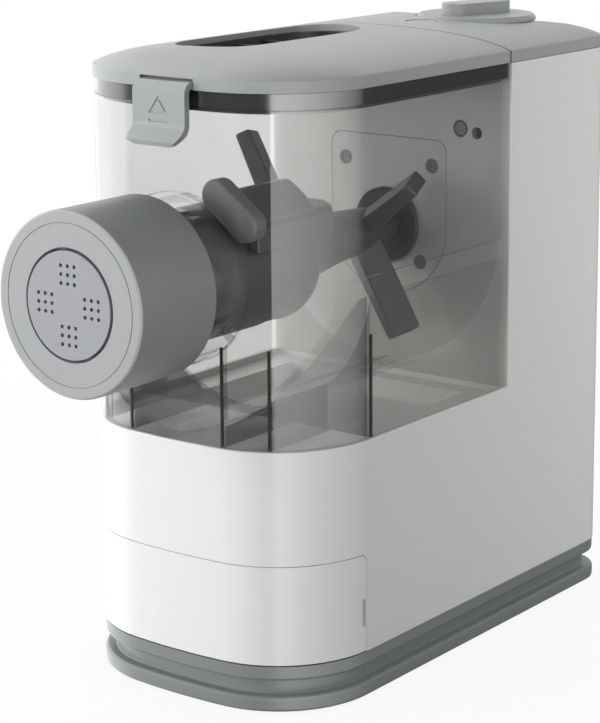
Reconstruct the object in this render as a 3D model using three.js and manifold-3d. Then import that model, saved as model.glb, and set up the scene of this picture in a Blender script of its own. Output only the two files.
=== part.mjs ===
import * as THREE from 'three';
import { mergeVertices } from 'three/addons/utils/BufferGeometryUtils.js';
import Module from 'manifold-3d';

// A compact electric pasta maker, in millimetres, +Z up and its front at -Y.
// While it is drawn, Y = 0 is the foremost point of the white body and X = 0 is its mid plane.
// The finished group is moved along Y so that its origin is under the middle of the whole machine.

const wasm = await Module();
wasm.setup();

// Fits that the whole machine shares
const seam = 0.3; // gap between two parts that meet
const slideGap = 0.5; // gap beside a part that slides or turns
const overrun = 2; // how far a cutter runs past the face that it cuts
const hair = 0.01; // smallest radius that a corner may shrink to

// Sides of round pieces, few enough to keep the meshes light
const smallSides = 10; // screws, pins and their holes
const middleSides = 14; // bearings, bosses and shafts
const largeSides = 20; // the drive hole and what fills it
const footSides = 16;
const motorSides = 18;
const tubeSides = 26; // nozzle, tube and shaping disc
const capSides = 32; // locking cap and knob

// Plan of the body, seen from above
const bodyWidth = 135;
const bodyLength = 249;
const frontArcRadius = 270;
const frontCornerRadius = 47;
const rearCornerRadius = 17;
const cornerSteps = 6;
const rearCornerSteps = 4;
const frontSteps = 4;

// Base and feet
const footHeight = 1.2; // how far the rubber stands below the base
const footRadius = 9;
const footSunk = 1.4;
const footFromSide = 22;
const footFromFront = 40;
const footFromRear = 44;
const baseRingTop = 8;
const baseNeckTop = 15;
const baseTop = 21.4;
const neckDepth = 5;
const baseRound = 1.6;
const baseRimInset = 0.4;
const baseFloor = 3.2;
const baseWall = 4;

// White housing
const housingWall = 2.8;
const housingEdgeRound = 0.8;
const deckHeight = 115.1; // top edge of the low body
const deckSink = 3.1; // the deck lies this far below that edge
const deckThickness = 3;
const wellDepth = 9; // recess in the deck under the trough
const wellFromSide = 17.5;
const wellFromTower = 10;
const wellFromBulkhead = 12.5;
const towerAboveAxis = 79.9; // how far the tower's walls rise above the axis
const towerDepth = 91.5; // from the tower's front wall to the back of the body
const towerWall = 3.5;
const shelfDepth = 3; // ledge at the tower's top, under the cover's front
const ventCount = 5;
const ventPitch = 9;
const ventWidth = 3;
const ventLength = 38;
const ventMiddle = 84;
const postRadius = 4.5;
const postFromWall = 14.5;
const postFromTower = 4; // how far ahead of the tower wall the front posts stand
const postFromRear = 20;
const postHeight = 48;

// Storage drawer
const drawerTop = 65.4;
const drawerWrap = 46.8; // Y where the drawer front ends on each side
const drawerCorner = 4;
const drawerWall = 2;
const drawerFromSide = 15.5;
const drawerFromPost = 1.7; // between the drawer's box and the front posts
const drawerHeight = 34;
const drawerLift = 4; // floor of the tray above the foot of its front panel
const notchLow = 33.3;
const notchHigh = 45.5;
const notchDepth = 1.5;
const linerWall = 2;
const linerFront = 23;
const linerFlange = 2.5;

// Turning axis of screw, paddle and gears
const axisAboveDeck = 68.9; // above the top edge of the low body

// Mixing chamber, clear
const chamberInset = 0.6;
const chamberWall = 2.2;
const chamberFromTop = 6.9; // how far the chamber stops below the tower's top
const troughFromSide = 4.5; // between the trough's inner face and the body's side
const troughSteps = 20;
const rearWall = 2.5;
const bulkheadShare = 0.324; // of the way from the front to the tower
const ribThickness = 2.2;
const ribPlaces = [25, 45]; // X of the upright ribs under the trough
const nozzleRadius = 33.5;
const nozzleWall = 4.6;
const nozzleReach = 50;
const collarRadius = 36.5;
const collarReach = 14;
const collarSunk = 8;

// Extruding tube, shaping disc and locking cap
const tubeWall = 3.8;
const tubeBackShare = 0.45; // of the way from the front to the tower
const tubeShoulder = 7;
const shoulderBulge = 2; // how far in the middle of that rounded edge lies
const tubeEndWall = 3.2;
const tubeFlangeRadius = 31.2;
const tubeFlange = 3;
const feedLength = 20;
const feedWidth = 30;
const capRadius = 38.3;
const capFront = 60.5; // reach of the cap's face ahead of the body
const capBack = 15;
const capWall = 2.8;
const capFace = 3.4;
const capBevel = 1.2;
const discRadius = 22.5;
const discProud = 2.7;
const discFlange = 2.4;
const discFlangeRadius = 28;
const discHoleRadius = 0.85;
const discHolePitch = 3.6;
const discGroupRadius = 12.4;
const discHoleSides = 5;

// Extrusion screw
const screwCore = 8.6;
const screwPitch = 30;
const screwThread = 3;
const screwSteps = 11; // per turn
const tangWidth = 10.4;
const tangLength = 12;

// Kneading paddle
const paddleShaft = 7.6;
const hubFrontRadius = 17;
const hubMiddleRadius = 12;
const hubRearRadius = 9.6;
const hubMiddleShare = 0.474; // of the way from the tube to the tower, as all places on the paddle
const hubBackShare = 0.867;
const bladeWidth = 15;
const bladeThickness = 9;
const bladeLean = 24; // degrees that a blade is twisted about its own length
const blades = [ // reach as a share of the trough's radius, angle in degrees seen from the front
  { placeShare: 0.162, angle: 118, reachShare: 0.89 },
  { placeShare: 0.717, angle: 38, reachShare: 0.667 },
  { placeShare: 0.717, angle: -59, reachShare: 0.825 },
];
const scraperAngle = 53; // degrees, seen from the front
const scraperGap = 1.2; // between the tube and the scraper
const padLength = 32.6;
const padHeight = 14;
const padThickness = 8.5;
const padFront = 12;
const hoodRadius = 41; // of the wide part behind the pad
const hoodBackShare = 0.368; // of the way from the front to the tower
const hoodFrom = 35.2; // degrees, its outer face seen from the front
const hoodTo = 62;
const hoodEndX = 14.3;
const hoodEndRise = 36.4; // above the axis
const hoodUnderside = 23.6; // above the axis
const beamSide = 31.2; // X of the narrow beam under it
const beamLow = 11; // above the axis
const beamShoulder = 20.8;
const beamFrontShare = 0.133; // of the way from the front to the tower
const webEndX = 24;

// Drive in the tower
const driveHole = 17.5;
const driveCoverHalf = 32.5;
const driveCoverRise = 41.5; // above the axis
const driveCoverCorner = 6;
const driveCoverThickness = 2;
const coverScrewPlaces = [[24.5, 29.4], [-24.5, 29.4], [18, -16.5], [-18, -16.5]]; // X and Z from the axis
const screwHead = 3.4;
const screwShank = 1.5;
const screwHeadDepth = 1.9;
const screwSlot = 1;
const coverScrewLength = 7;
const couplingRadius = 13.4;
const couplingLength = 8;
const socketDepth = 5.8;
const outputShaft = 6;
const plateThickness = 4;
const bossLength = 10;
const bearingWall = 4.4;
const bearingWidth = 4.4;
const caseWall = 2.5;
const caseBack = 3.8;
const caseMargin = 3;
const caseCorner = 12;
const outputModule = 2.5;
const outputTeeth = 34;
const inputModule = 2;
const inputTeeth = 38;
const pinionTeeth = 10;
const outputFace = 9;
const inputFace = 6;
const gearGap = 1; // between gears, bearings and walls along the shafts
const idlerShaft = 4;
const motorShaft = 2.5;
const gearTipShare = 0.09;
const gearRootShare = 0.27;
const addendumShare = 0.85;
const dedendumShare = 1.15;
const motorRadius = 30;
const motorWall = 2;
const motorLength = 37;
const motorEnd = 2.6;
const statorWall = 6;
const statorLength = 22;
const rotorLength = 24;
const fanRadius = 25;
const fanWidth = 6;
const fanBlades = 8;
const fanHub = 8;
const fanBladeThickness = 1.4;

// Lid, its seal, slot and latch
const rimHeight = 5.3;
const domeRise = 8.55;
const domeInsetShares = [0, 0.018, 0.11, 0.28, 0.54, 0.89]; // of half the width
const domeRiseShares = [0, 0.05, 0.3, 0.61, 0.86, 1]; // of the rise
const lidWall = 3.2;
const lidFlange = 9;
const lidArcSag = 8; // the seam behind the lid bows forward by this much
const lidArcFromTower = 1; // how far ahead of the tower's front that seam meets the sides
const lidArcSteps = 10;
const sealInset = 1.2;
const sealWidth = 5;
const sealPlug = 1.8;
const slotFromMiddle = 14.4; // its middle lies this far left of the lid's
const slotPlaceShare = 0.576; // of the way from the front to the tower
const slotHalfWidth = 23.6;
const slotLengthShare = 0.33; // half its length, as a share of the same way
const slotRightShares = [[-0.2, -1], [0.34, -0.97], [0.75, -0.88], [0.96, -0.7], [1, -0.4], [1, 0.2], [0.95, 0.56]];
const slotLeftShares = [[0.75, 0.78], [0.4, 0.91], [-0.16, 0.99], [-0.75, 0.93], [-1, 0.6], [-1, -0.3], [-0.9, -0.75], [-0.64, -0.95]];
const slotSteps = 2;
const grilleWall = 1.8;
const grilleDepth = 9;
const grilleRibShares = [-0.38, 0, 0.38]; // of half the slot's length
const grilleRib = 1.6;
const latchHalfWidth = 14;
const latchThickness = 3;
const latchPivotSunk = 2.4;
const latchPivotHeight = 1.8; // above the foot of the rim
const latchBarrel = 1.9;
const latchPin = 0.9;
const latchPinEar = 3;
const latchStandoff = 3.2;
const latchNeck = 4;
const latchStraight = 13;
const latchFlareHeight = 6.5;
const latchFlareReach = 6.3;
const latchFlareShares = [[0, 0], [0.3, 0.45], [1, 1]]; // of that reach and height
const latchSlotHeight = 4.6;
const sealNotch = 16; // half the gap in the seal behind the latch

// Tower cover with knob and button
const coverWall = 3;
const knobFromMiddle = 11.5;
const knobFromRear = 35.5;
const knobRadius = 28.5;
const knobCollar = 3;
const knobSunk = 2.2; // how far the collar is let into the domed cover
const gripLength = 38;
const gripWidth = 15;
const gripHeight = 5.5;
const gripTurn = 75; // degrees from X to the grip's length, with the knob at rest
const knobStem = 3;
const knobSocket = 9; // radius of the thicker patch of cover round the stem
const buttonFromMiddle = 7.8;
const buttonFromRear = 75.9;
const buttonRadius = 7.4;
const buttonThickness = 3.4;
const buttonStem = 2;
const buttonStemLength = 8;
const buttonTravel = 1.5;
const boardThickness = 1.6;
const boardDrop = 24; // top of the board below the top of the cover
const boardFromSide = 21.5;
const boardFromRear = 10;
const boardFromSeam = 9; // behind the ends of that seam
const boardPostRadius = 3;
const boardPostInset = 7;
const switchSize = 15;
const startSwitchSize = 12;
const lidSwitchFromAxis = [40.2, 48.2];
const lidSwitchHole = 4;
const lidSwitchBody = [12, 10, 16];
const lidPortFromAxis = [49.1, 46.7];
const lidPortHole = 2.8;
const glandFromSide = 27.5;
const glandHeight = 40;
const glandRadius = 7.6;
const glandBore = 3.4;
const glandFlange = 2;
const glandCollar = 3;

// Levels and places that follow from the sizes above
const halfWidth = bodyWidth / 2;
const axisHeight = deckHeight + axisAboveDeck;
const towerHeight = axisHeight + towerAboveAxis;
const chamberTop = towerHeight - chamberFromTop;
const towerFront = bodyLength - towerDepth;
const housingFoot = baseTop + seam;
const deckTop = deckHeight - deckSink;
const rimFoot = towerHeight + seam;
const rimTop = rimFoot + rimHeight;
const domeTop = rimTop + domeRise;
const latchMiddle = rimFoot + latchPivotHeight;
const boardTop = domeTop - boardDrop;
const chamberFoot = deckHeight + seam;
const chamberBack = towerFront - seam;
const wallBack = towerFront + towerWall;
const caseFront = wallBack + seam;
const pinionAxis = axisHeight - outputModule * (outputTeeth + pinionTeeth) / 2;
const motorAxis = pinionAxis - inputModule * (inputTeeth + pinionTeeth) / 2;
const troughRadius = halfWidth - troughFromSide;
const bulkheadFront = towerFront * bulkheadShare;
const wellFront = bulkheadFront + wellFromBulkhead;
const wellBack = towerFront - wellFromTower;
const drawerHalf = halfWidth - drawerFromSide;
const drawerBack = towerFront - postFromTower - postRadius - drawerFromPost - linerWall - slideGap;
const tubeBack = towerFront * tubeBackShare;
const tubeRadius = nozzleRadius - nozzleWall - seam;
const screwRadius = tubeRadius - tubeWall - slideGap;
const scraperInner = tubeRadius + scraperGap;
const slotPlace = [-slotFromMiddle, towerFront * slotPlaceShare];
const slotHalfLength = towerFront * slotLengthShare;
const lidArcEnd = towerFront - lidArcFromTower;
const knobPlace = [knobFromMiddle, bodyLength - knobFromRear];
const buttonPlace = [buttonFromMiddle, bodyLength - buttonFromRear];
const boardWidth = bodyWidth - 2 * boardFromSide;
const lidSwitchPlace = [lidSwitchFromAxis[0], axisHeight + lidSwitchFromAxis[1]];
const lidPortPlace = [lidPortFromAxis[0], axisHeight + lidPortFromAxis[1]];
const glandPlace = [halfWidth - glandFromSide, glandHeight];
const discReach = capFront + discProud;
const middleY = (bodyLength - discReach) / 2;

// Colours and finishes
function finish(color, roughness, metalness = 0, opacity = 1) {
  return new THREE.MeshStandardMaterial({ color, roughness, metalness, opacity, transparent: opacity < 1 });
}
const glossWhite = finish(0xe9e9e7, 0.25);
const satinGrey = finish(0xa9adac, 0.4);
const baseGrey = finish(0x8e9293, 0.45);
const darkSeal = finish(0x3a3c3c, 0.5);
const capGrey = finish(0x77797b, 0.55, 0.2);
const discGrey = finish(0xc0c2c6, 0.35, 0.1);
const paddleGrey = finish(0x5a5d5d, 0.45);
const tubeGrey = finish(0x8f9190, 0.45);
const smokyClear = finish(0xd5d6d3, 0.08, 0, 0.3);
const steel = finish(0xb4b6b8, 0.3, 0.9);
const gearWhite = finish(0xe4e0d2, 0.5);
const bronze = finish(0xa77b45, 0.4, 0.8);
const boardGreen = finish(0x2f6b45, 0.5);
const black = finish(0x1d1e1f, 0.5);

// Closed meshes to solids and back
function outward(geometry) {
  const place = geometry.attributes.position;
  const index = geometry.index.array;
  const corner = [new THREE.Vector3(), new THREE.Vector3(), new THREE.Vector3()];
  let volume = 0;
  for (let i = 0; i < index.length; i += 3) {
    corner.forEach((point, k) => point.fromBufferAttribute(place, index[i + k]));
    volume += corner[0].dot(corner[1].cross(corner[2]));
  }
  if (volume < 0) {
    for (let i = 0; i < index.length; i += 3) {
      [index[i], index[i + 1]] = [index[i + 1], index[i]];
    }
  }
  return geometry;
}

function solid(geometry) {
  const bare = geometry.clone();
  bare.deleteAttribute('normal');
  bare.deleteAttribute('uv');
  const merged = outward(mergeVertices(bare));
  const mesh = new wasm.Mesh({
    numProp: 3,
    vertProperties: new Float32Array(merged.attributes.position.array),
    triVerts: new Uint32Array(merged.index.array),
  });
  mesh.merge();
  return new wasm.Manifold(mesh);
}

function surface(body) {
  const mesh = body.getMesh();
  const geometry = new THREE.BufferGeometry();
  geometry.setAttribute('position', new THREE.BufferAttribute(new Float32Array(mesh.vertProperties), 3));
  geometry.setIndex(new THREE.BufferAttribute(new Uint32Array(mesh.triVerts), 1));
  geometry.computeVertexNormals();
  return geometry;
}

function piece(name, body, material, x = 0, y = 0, z = 0) {
  const mesh = new THREE.Mesh(surface(body), material);
  mesh.name = name;
  mesh.position.set(x, y, z);
  return mesh;
}

function joined(...bodies) {
  return bodies.reduce((whole, body) => whole.add(body));
}

// Flat outlines
function arc(x, y, radius, from, to, steps) {
  const points = [];
  for (let i = 0; i <= steps; i += 1) {
    const angle = from + (to - from) * i / steps;
    points.push(new THREE.Vector2(x + radius * Math.cos(angle), y + radius * Math.sin(angle)));
  }
  return points;
}

function circle(radius, steps, x = 0, y = 0) {
  return arc(x, y, radius, 0, 2 * Math.PI, steps).slice(0, -1);
}

function roundedBox(left, low, right, high, radius, steps = 4) {
  const quarter = Math.PI / 2;
  return [
    ...arc(right - radius, low + radius, radius, -quarter, 0, steps),
    ...arc(right - radius, high - radius, radius, 0, quarter, steps),
    ...arc(left + radius, high - radius, radius, quarter, 2 * quarter, steps),
    ...arc(left + radius, low + radius, radius, 2 * quarter, 3 * quarter, steps),
  ];
}

function shapeOf(points, holes = []) {
  const shape = new THREE.Shape(points);
  shape.holes = holes.map((hole) => new THREE.Path(hole));
  return shape;
}

function extruded(points, depth, holes) {
  return new THREE.ExtrudeGeometry(shapeOf(points, holes), { depth, bevelEnabled: false });
}

// Extrusions: upwards from a plan, backwards from a front view, and across from a side view
function upright(points, low, high, holes) {
  return solid(extruded(points, high - low, holes).translate(0, 0, low));
}

function backwards(points, front, back, holes) {
  return solid(extruded(points, back - front, holes).rotateX(Math.PI / 2).translate(0, back, 0));
}

function across(points, left, right) {
  const turn = new THREE.Matrix4().makeBasis(
    new THREE.Vector3(0, 1, 0), new THREE.Vector3(0, 0, 1), new THREE.Vector3(1, 0, 0));
  return solid(extruded(points, right - left).applyMatrix4(turn).translate(left, 0, 0));
}

function block(left, front, low, right, back, high) {
  const geometry = new THREE.BoxGeometry(right - left, back - front, high - low);
  return solid(geometry.translate((left + right) / 2, (front + back) / 2, (low + high) / 2));
}

// Turned parts: each profile is a list of [radius, place along the axis]
function turnedBack(profile, steps) {
  const points = profile.map(([radius, place]) => new THREE.Vector2(radius, place));
  return solid(new THREE.LatheGeometry(points, steps));
}

function turnedUp(profile, steps) {
  const points = profile.map(([radius, place]) => new THREE.Vector2(radius, -place));
  return solid(new THREE.LatheGeometry(points, steps).rotateX(-Math.PI / 2));
}

function ring(inner, outer, front, back, steps) {
  return turnedBack([[inner, front], [outer, front], [outer, back], [inner, back], [inner, front]], steps);
}

function rod(radius, front, back, steps) {
  return turnedBack([[0, front], [radius, front], [radius, back], [0, back]], steps);
}

// Plan of the body, drawn in by an inset on every side
function planPoints(inset) {
  const front = Math.max(frontCornerRadius, inset + hair);
  const rear = Math.max(rearCornerRadius, inset + hair);
  const cornerX = halfWidth - front;
  const cornerY = frontArcRadius - Math.sqrt((frontArcRadius - front) ** 2 - cornerX ** 2);
  const lean = Math.atan2(cornerX, frontArcRadius - cornerY);
  const down = -Math.PI / 2;
  const rearX = halfWidth - rear;
  const rearY = bodyLength - rear;
  const bow = arc(0, frontArcRadius, frontArcRadius - inset, down - lean, down + lean, frontSteps);
  return [
    ...arc(cornerX, cornerY, front - inset, down + lean, 0, cornerSteps),
    ...arc(rearX, rearY, rear - inset, 0, -down, rearCornerSteps),
    ...arc(-rearX, rearY, rear - inset, -down, -2 * down, rearCornerSteps),
    ...arc(-cornerX, cornerY, front - inset, -2 * down, -3 * down - lean, cornerSteps),
    ...bow.slice(1, -1),
  ];
}

// Triangles that fill such a plan, facing up
function planFaces(points) {
  return THREE.ShapeUtils.triangulateShape(points, []).map(([a, b, c]) => {
    const [p, q, r] = [points[a], points[b], points[c]];
    const turnsLeft = (q.x - p.x) * (r.y - p.y) - (q.y - p.y) * (r.x - p.x) > 0;
    return turnsLeft ? [a, b, c] : [a, c, b];
  });
}

// Solid through a stack of such plans, given as [inset, height] from the bottom up
function stack(layers) {
  const rings = layers.map(([inset]) => planPoints(inset));
  const count = rings[0].length;
  const vertices = [];
  const faces = [];
  rings.forEach((points, level) => {
    points.forEach((point) => vertices.push(point.x, point.y, layers[level][1]));
  });
  for (let level = 0; level < rings.length - 1; level += 1) {
    for (let i = 0; i < count; i += 1) {
      const a = level * count + i;
      const b = level * count + (i + 1) % count;
      faces.push(a, b, b + count, a, b + count, a + count);
    }
  }
  const last = (rings.length - 1) * count;
  planFaces(rings[0]).forEach(([a, b, c]) => faces.push(a, c, b));
  planFaces(rings.at(-1)).forEach(([a, b, c]) => faces.push(a + last, b + last, c + last));
  const geometry = new THREE.BufferGeometry();
  geometry.setAttribute('position', new THREE.Float32BufferAttribute(vertices, 3));
  geometry.setIndex(faces);
  return solid(geometry);
}

// Everything between two places along the machine, at full width
function slab(front, back, low = -bodyLength, high = bodyLength * 2) {
  return block(-bodyWidth, front, low, bodyWidth, back, high);
}

// Base and feet
function footPlaces() {
  const side = halfWidth - footFromSide;
  return [[-side, footFromFront], [side, footFromFront],
    [-side, bodyLength - footFromRear], [side, bodyLength - footFromRear]];
}

function postPlaces() {
  const side = halfWidth - postFromWall;
  return [[-side, towerFront - postFromTower], [side, towerFront - postFromTower],
    [-side, bodyLength - postFromRear], [side, bodyLength - postFromRear]];
}

function base() {
  const outer = stack([
    [baseRound, footHeight], [0, footHeight + baseRound], [0, baseRingTop - baseRound],
    [baseRound, baseRingTop], [neckDepth, baseRingTop], [neckDepth, baseNeckTop],
    [baseRimInset + baseRound, baseNeckTop], [baseRimInset, baseNeckTop + baseRound], [baseRimInset, baseTop],
  ]);
  const inner = neckDepth + baseWall;
  let body = outer.subtract(stack([[inner, footHeight + baseFloor], [inner, baseTop + overrun]]));
  footPlaces().forEach(([x, y]) => {
    const pocket = circle(footRadius + seam, footSides, x, y);
    body = body.subtract(upright(pocket, -overrun, footHeight + footSunk + seam));
  });
  const through = footHeight + baseFloor + overrun;
  postPlaces().forEach(([x, y]) => {
    const hole = [[0, 0], [screwHead + seam, 0], [screwHead + seam, footHeight + seam],
      [screwShank + seam, footHeight + screwHeadDepth + 2 * seam], [screwShank + seam, through],
      [0, through]];
    body = body.subtract(turnedUp(hole, smallSides).translate(x, y, 0));
  });
  return body;
}

function foot() {
  return turnedUp([[0, 0], [footRadius - baseRound, 0], [footRadius, footHeight],
    [footRadius, footHeight + footSunk], [0, footHeight + footSunk]], footSides);
}

function screw(length) {
  const body = turnedUp([[0, 0], [screwHead, 0], [screwShank, screwHeadDepth],
    [screwShank, length], [0, length]], smallSides);
  const half = screwHead / 2;
  const arm = screwSlot / 2;
  return body.subtract(block(-half, -arm, -overrun, half, arm, screwHeadDepth / 2));
}

// Drawer opening, as a side view with rounded upper corners
function drawerSide(gap) {
  const end = drawerWrap + gap;
  const top = drawerTop + gap;
  const radius = drawerCorner + gap;
  return [
    new THREE.Vector2(-bodyLength, 0), new THREE.Vector2(end, 0),
    ...arc(end - radius, top - radius, radius, 0, Math.PI / 2, 4), new THREE.Vector2(-bodyLength, top),
  ];
}

function ventCuts() {
  const cuts = [];
  for (let i = 0; i < ventCount; i += 1) {
    const x = (i - (ventCount - 1) / 2) * ventPitch;
    const outline = roundedBox(x - ventWidth / 2, ventMiddle - ventLength / 2,
      x + ventWidth / 2, ventMiddle + ventLength / 2, ventWidth / 2 - hair, 2);
    cuts.push(backwards(outline, bodyLength - housingWall - overrun, bodyLength + overrun));
  }
  return joined(...cuts);
}

function housingPosts() {
  const low = footHeight + baseFloor + seam;
  const posts = postPlaces().map(([x, y]) => {
    const side = Math.sign(x);
    const wall = side * (halfWidth - housingWall / 2);
    const post = upright(circle(postRadius, smallSides, x, y), low, postHeight);
    const web = block(Math.min(x, wall), y - housingWall / 2, housingFoot,
      Math.max(x, wall), y + housingWall / 2, postHeight);
    const hole = upright(circle(screwShank + seam, smallSides, x, y), low - overrun, low + postRadius * 2);
    return post.add(web).subtract(hole);
  });
  return joined(...posts);
}

// The recess that the deck has under the trough
function deckWell(body) {
  const floor = deckTop - wellDepth;
  const half = halfWidth - wellFromSide;
  const wall = housingWall;
  return body
    .add(block(-half - wall, wellFront - wall, floor - wall,
      half + wall, wellBack + wall, deckTop - wall / 2))
    .subtract(block(-half, wellFront, floor, half, wellBack, deckTop + overrun));
}

function towerFrontCuts() {
  const through = [towerFront - overrun, wallBack + overrun];
  const screwHoles = coverScrewPlaces.map(([x, z]) => (
    backwards(circle(screwShank + seam, smallSides, x, axisHeight + z), ...through)));
  return joined(
    driveCoverSolid(seam, towerFront - overrun, towerFront + driveCoverThickness + seam),
    backwards(circle(driveHole + seam, largeSides, 0, axisHeight), ...through),
    backwards(circle(lidSwitchHole, smallSides, ...lidSwitchPlace), ...through),
    backwards(circle(lidPortHole, smallSides, ...lidPortPlace), ...through),
    ...screwHoles,
  );
}

function housing() {
  const low = stack([[0, housingFoot], [0, deckHeight - housingEdgeRound], [housingEdgeRound, deckHeight]]);
  const tower = stack([[0, housingFoot], [0, towerHeight]]).intersect(slab(towerFront, bodyLength * 2));
  const under = stack([[housingWall, -overrun], [housingWall, deckTop - deckThickness]]);
  const over = stack([[housingWall, deckTop], [housingWall, deckHeight + overrun]]);
  const inTower = stack([[housingWall, -overrun], [housingWall, towerHeight + overrun]]);
  let body = low.add(tower)
    .subtract(under.intersect(slab(-overrun, towerFront)))
    .subtract(over.intersect(slab(-overrun, towerFront)))
    .subtract(inTower.intersect(slab(wallBack, bodyLength * 2)));
  const shelf = stack([[housingWall / 2, towerHeight - housingWall], [housingWall / 2, towerHeight]]);
  body = body.add(shelf.intersect(slab(wallBack - seam, wallBack + shelfDepth)));
  const glandHole = circle(glandRadius + seam, middleSides, ...glandPlace);
  const drawerMouth = across(drawerSide(seam), -bodyWidth, bodyWidth);
  return deckWell(body)
    .add(housingPosts())
    .subtract(drawerMouth.intersect(slab(-bodyLength, towerFront / 2, 0)))
    .subtract(towerFrontCuts())
    .subtract(ventCuts())
    .subtract(backwards(glandHole, bodyLength - housingWall - overrun, bodyLength + overrun));
}

function gland() {
  const back = bodyLength;
  const inner = bodyLength - housingWall - seam;
  return turnedBack([[glandBore, inner - glandFlange], [glandRadius + glandCollar, inner - glandFlange],
    [glandRadius + glandCollar, inner], [glandRadius, inner], [glandRadius, back - seam],
    [glandBore + seam, back - seam], [glandBore, back - glandFlange],
    [glandBore, inner - glandFlange]], middleSides);
}

// Storage drawer: a front that wraps round the body, with a tray behind it
function drawer() {
  const foot = housingFoot + slideGap;
  const side = across(drawerSide(0), -bodyWidth, bodyWidth).intersect(slab(-bodyLength, drawerWrap, foot));
  const panel = stack([[0, foot], [0, drawerTop]])
    .subtract(stack([[housingWall, foot - overrun], [housingWall, drawerTop + overrun]]))
    .intersect(side);
  const half = drawerHalf;
  const low = foot + drawerLift;
  const high = low + drawerHeight;
  const back = drawerBack;
  const plan = stack([[housingWall / 2, low], [housingWall / 2, high]]);
  const tray = block(-half, 0, low, half, back, high).intersect(plan)
    .subtract(block(-half + drawerWall, drawerLift * 2, low + drawerWall,
      half - drawerWall, back - drawerWall, high + overrun));
  const notchFront = drawerWrap - notchDepth * 2;
  const notches = [-halfWidth, halfWidth].map((x) => (
    block(x - notchDepth, notchFront, notchLow, x + notchDepth, drawerWrap + overrun, notchHigh)));
  return panel.add(tray).subtract(joined(...notches));
}

function drawerLiner() {
  const half = drawerHalf + slideGap;
  const low = housingFoot + drawerLift;
  const high = low + drawerHeight + 2 * slideGap;
  const back = drawerBack + slideGap;
  const wall = linerWall;
  const shell = block(-half - wall, linerFront, low - wall, half + wall, back + wall, high + wall)
    .subtract(block(-half, linerFront - overrun, low, half, back, high));
  const flangeFront = drawerWrap + slideGap + housingWall;
  const flange = stack([[housingWall + seam, housingFoot], [housingWall + seam, high + wall]])
    .intersect(slab(flangeFront, flangeFront + linerFlange))
    .subtract(block(-half - wall / 2, 0, low - wall / 2, half + wall / 2, back, high + wall / 2));
  return shell.add(flange);
}

// Mixing chamber: a skirt on the body's outline, a half-round trough, ribs, a rear wall and the nozzle
function nozzle() {
  return turnedBack([
    [nozzleRadius - nozzleWall, -nozzleReach], [nozzleRadius, -nozzleReach], [nozzleRadius, -collarReach],
    [collarRadius, -collarReach + seam], [collarRadius, collarSunk], [nozzleRadius - nozzleWall, collarSunk],
    [nozzleRadius - nozzleWall, -nozzleReach],
  ], tubeSides).translate(0, 0, axisHeight);
}

// Upright ribs and a bulkhead that carry the trough on the deck
function chamberRibs() {
  const pipe = circle(troughRadius + chamberWall / 2, troughSteps * 2, 0, axisHeight);
  const under = block(-bodyWidth, 0, 0, bodyWidth, chamberBack, axisHeight)
    .subtract(backwards(pipe, -overrun, bodyLength));
  const half = ribThickness / 2;
  const ribs = ribPlaces.flatMap((place) => [-place, place])
    .map((x) => block(x - half, 0, 0, x + half, bulkheadFront + half, axisHeight));
  return joined(slab(bulkheadFront, bulkheadFront + ribThickness), ...ribs).intersect(under);
}

function chamber() {
  const inner = chamberInset + chamberWall;
  const wallFront = chamberBack - rearWall;
  const inside = stack([[chamberInset, chamberFoot], [chamberInset, chamberTop]])
    .intersect(slab(-overrun, chamberBack));
  const skirt = inside.subtract(stack([[inner, chamberFoot - overrun], [inner, chamberTop + overrun]])
    .intersect(slab(-overrun, wallFront)));
  const outerRadius = troughRadius + chamberWall;
  const half = [
    ...arc(0, axisHeight, outerRadius, Math.PI, 2 * Math.PI, troughSteps),
    ...arc(0, axisHeight, troughRadius, 2 * Math.PI, Math.PI, troughSteps),
  ];
  const trough = backwards(half, 0, chamberBack);
  const shaftHole = rod(driveHole + seam, wallFront - overrun, chamberBack + overrun, largeSides);
  const tubeHole = rod(nozzleRadius - nozzleWall, -nozzleReach, frontCornerRadius / 2, tubeSides);
  return skirt.add(trough.add(chamberRibs()).intersect(inside))
    .subtract(tubeHole.translate(0, 0, axisHeight))
    .add(nozzle())
    .subtract(shaftHole.translate(0, 0, axisHeight));
}

function shaftSeal() {
  const back = chamberBack;
  const front = chamberBack - rearWall - seam;
  const inner = paddleShaft + seam;
  const middle = (driveHole + inner) / 2;
  const step = seam * 2;
  return turnedBack([[inner, front], [middle, front], [middle, front + step], [driveHole, front + step],
    [driveHole, back], [middle, back], [middle, back - step], [inner, back - step],
    [inner, front]], largeSides);
}

// Extruding tube with its feed opening underneath, drawn about the axis
function extrudingTube() {
  const inner = tubeRadius - tubeWall;
  const front = -nozzleReach - seam - tubeFlange;
  const body = turnedBack([
    [inner, front], [tubeFlangeRadius, front], [tubeFlangeRadius, front + tubeFlange],
    [tubeRadius, front + tubeFlange], [tubeRadius, tubeBack - tubeShoulder],
    [tubeRadius - shoulderBulge, tubeBack - shoulderBulge], [tubeRadius - tubeShoulder, tubeBack],
    [paddleShaft + slideGap, tubeBack], [paddleShaft + slideGap, tubeBack - tubeEndWall],
    [inner, tubeBack - tubeEndWall], [inner, front],
  ], tubeSides);
  const feedBack = tubeBack - tubeEndWall - tubeWall;
  return body.subtract(block(-feedWidth / 2, feedBack - feedLength, -tubeRadius - overrun,
    feedWidth / 2, feedBack, -inner / 2));
}

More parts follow.
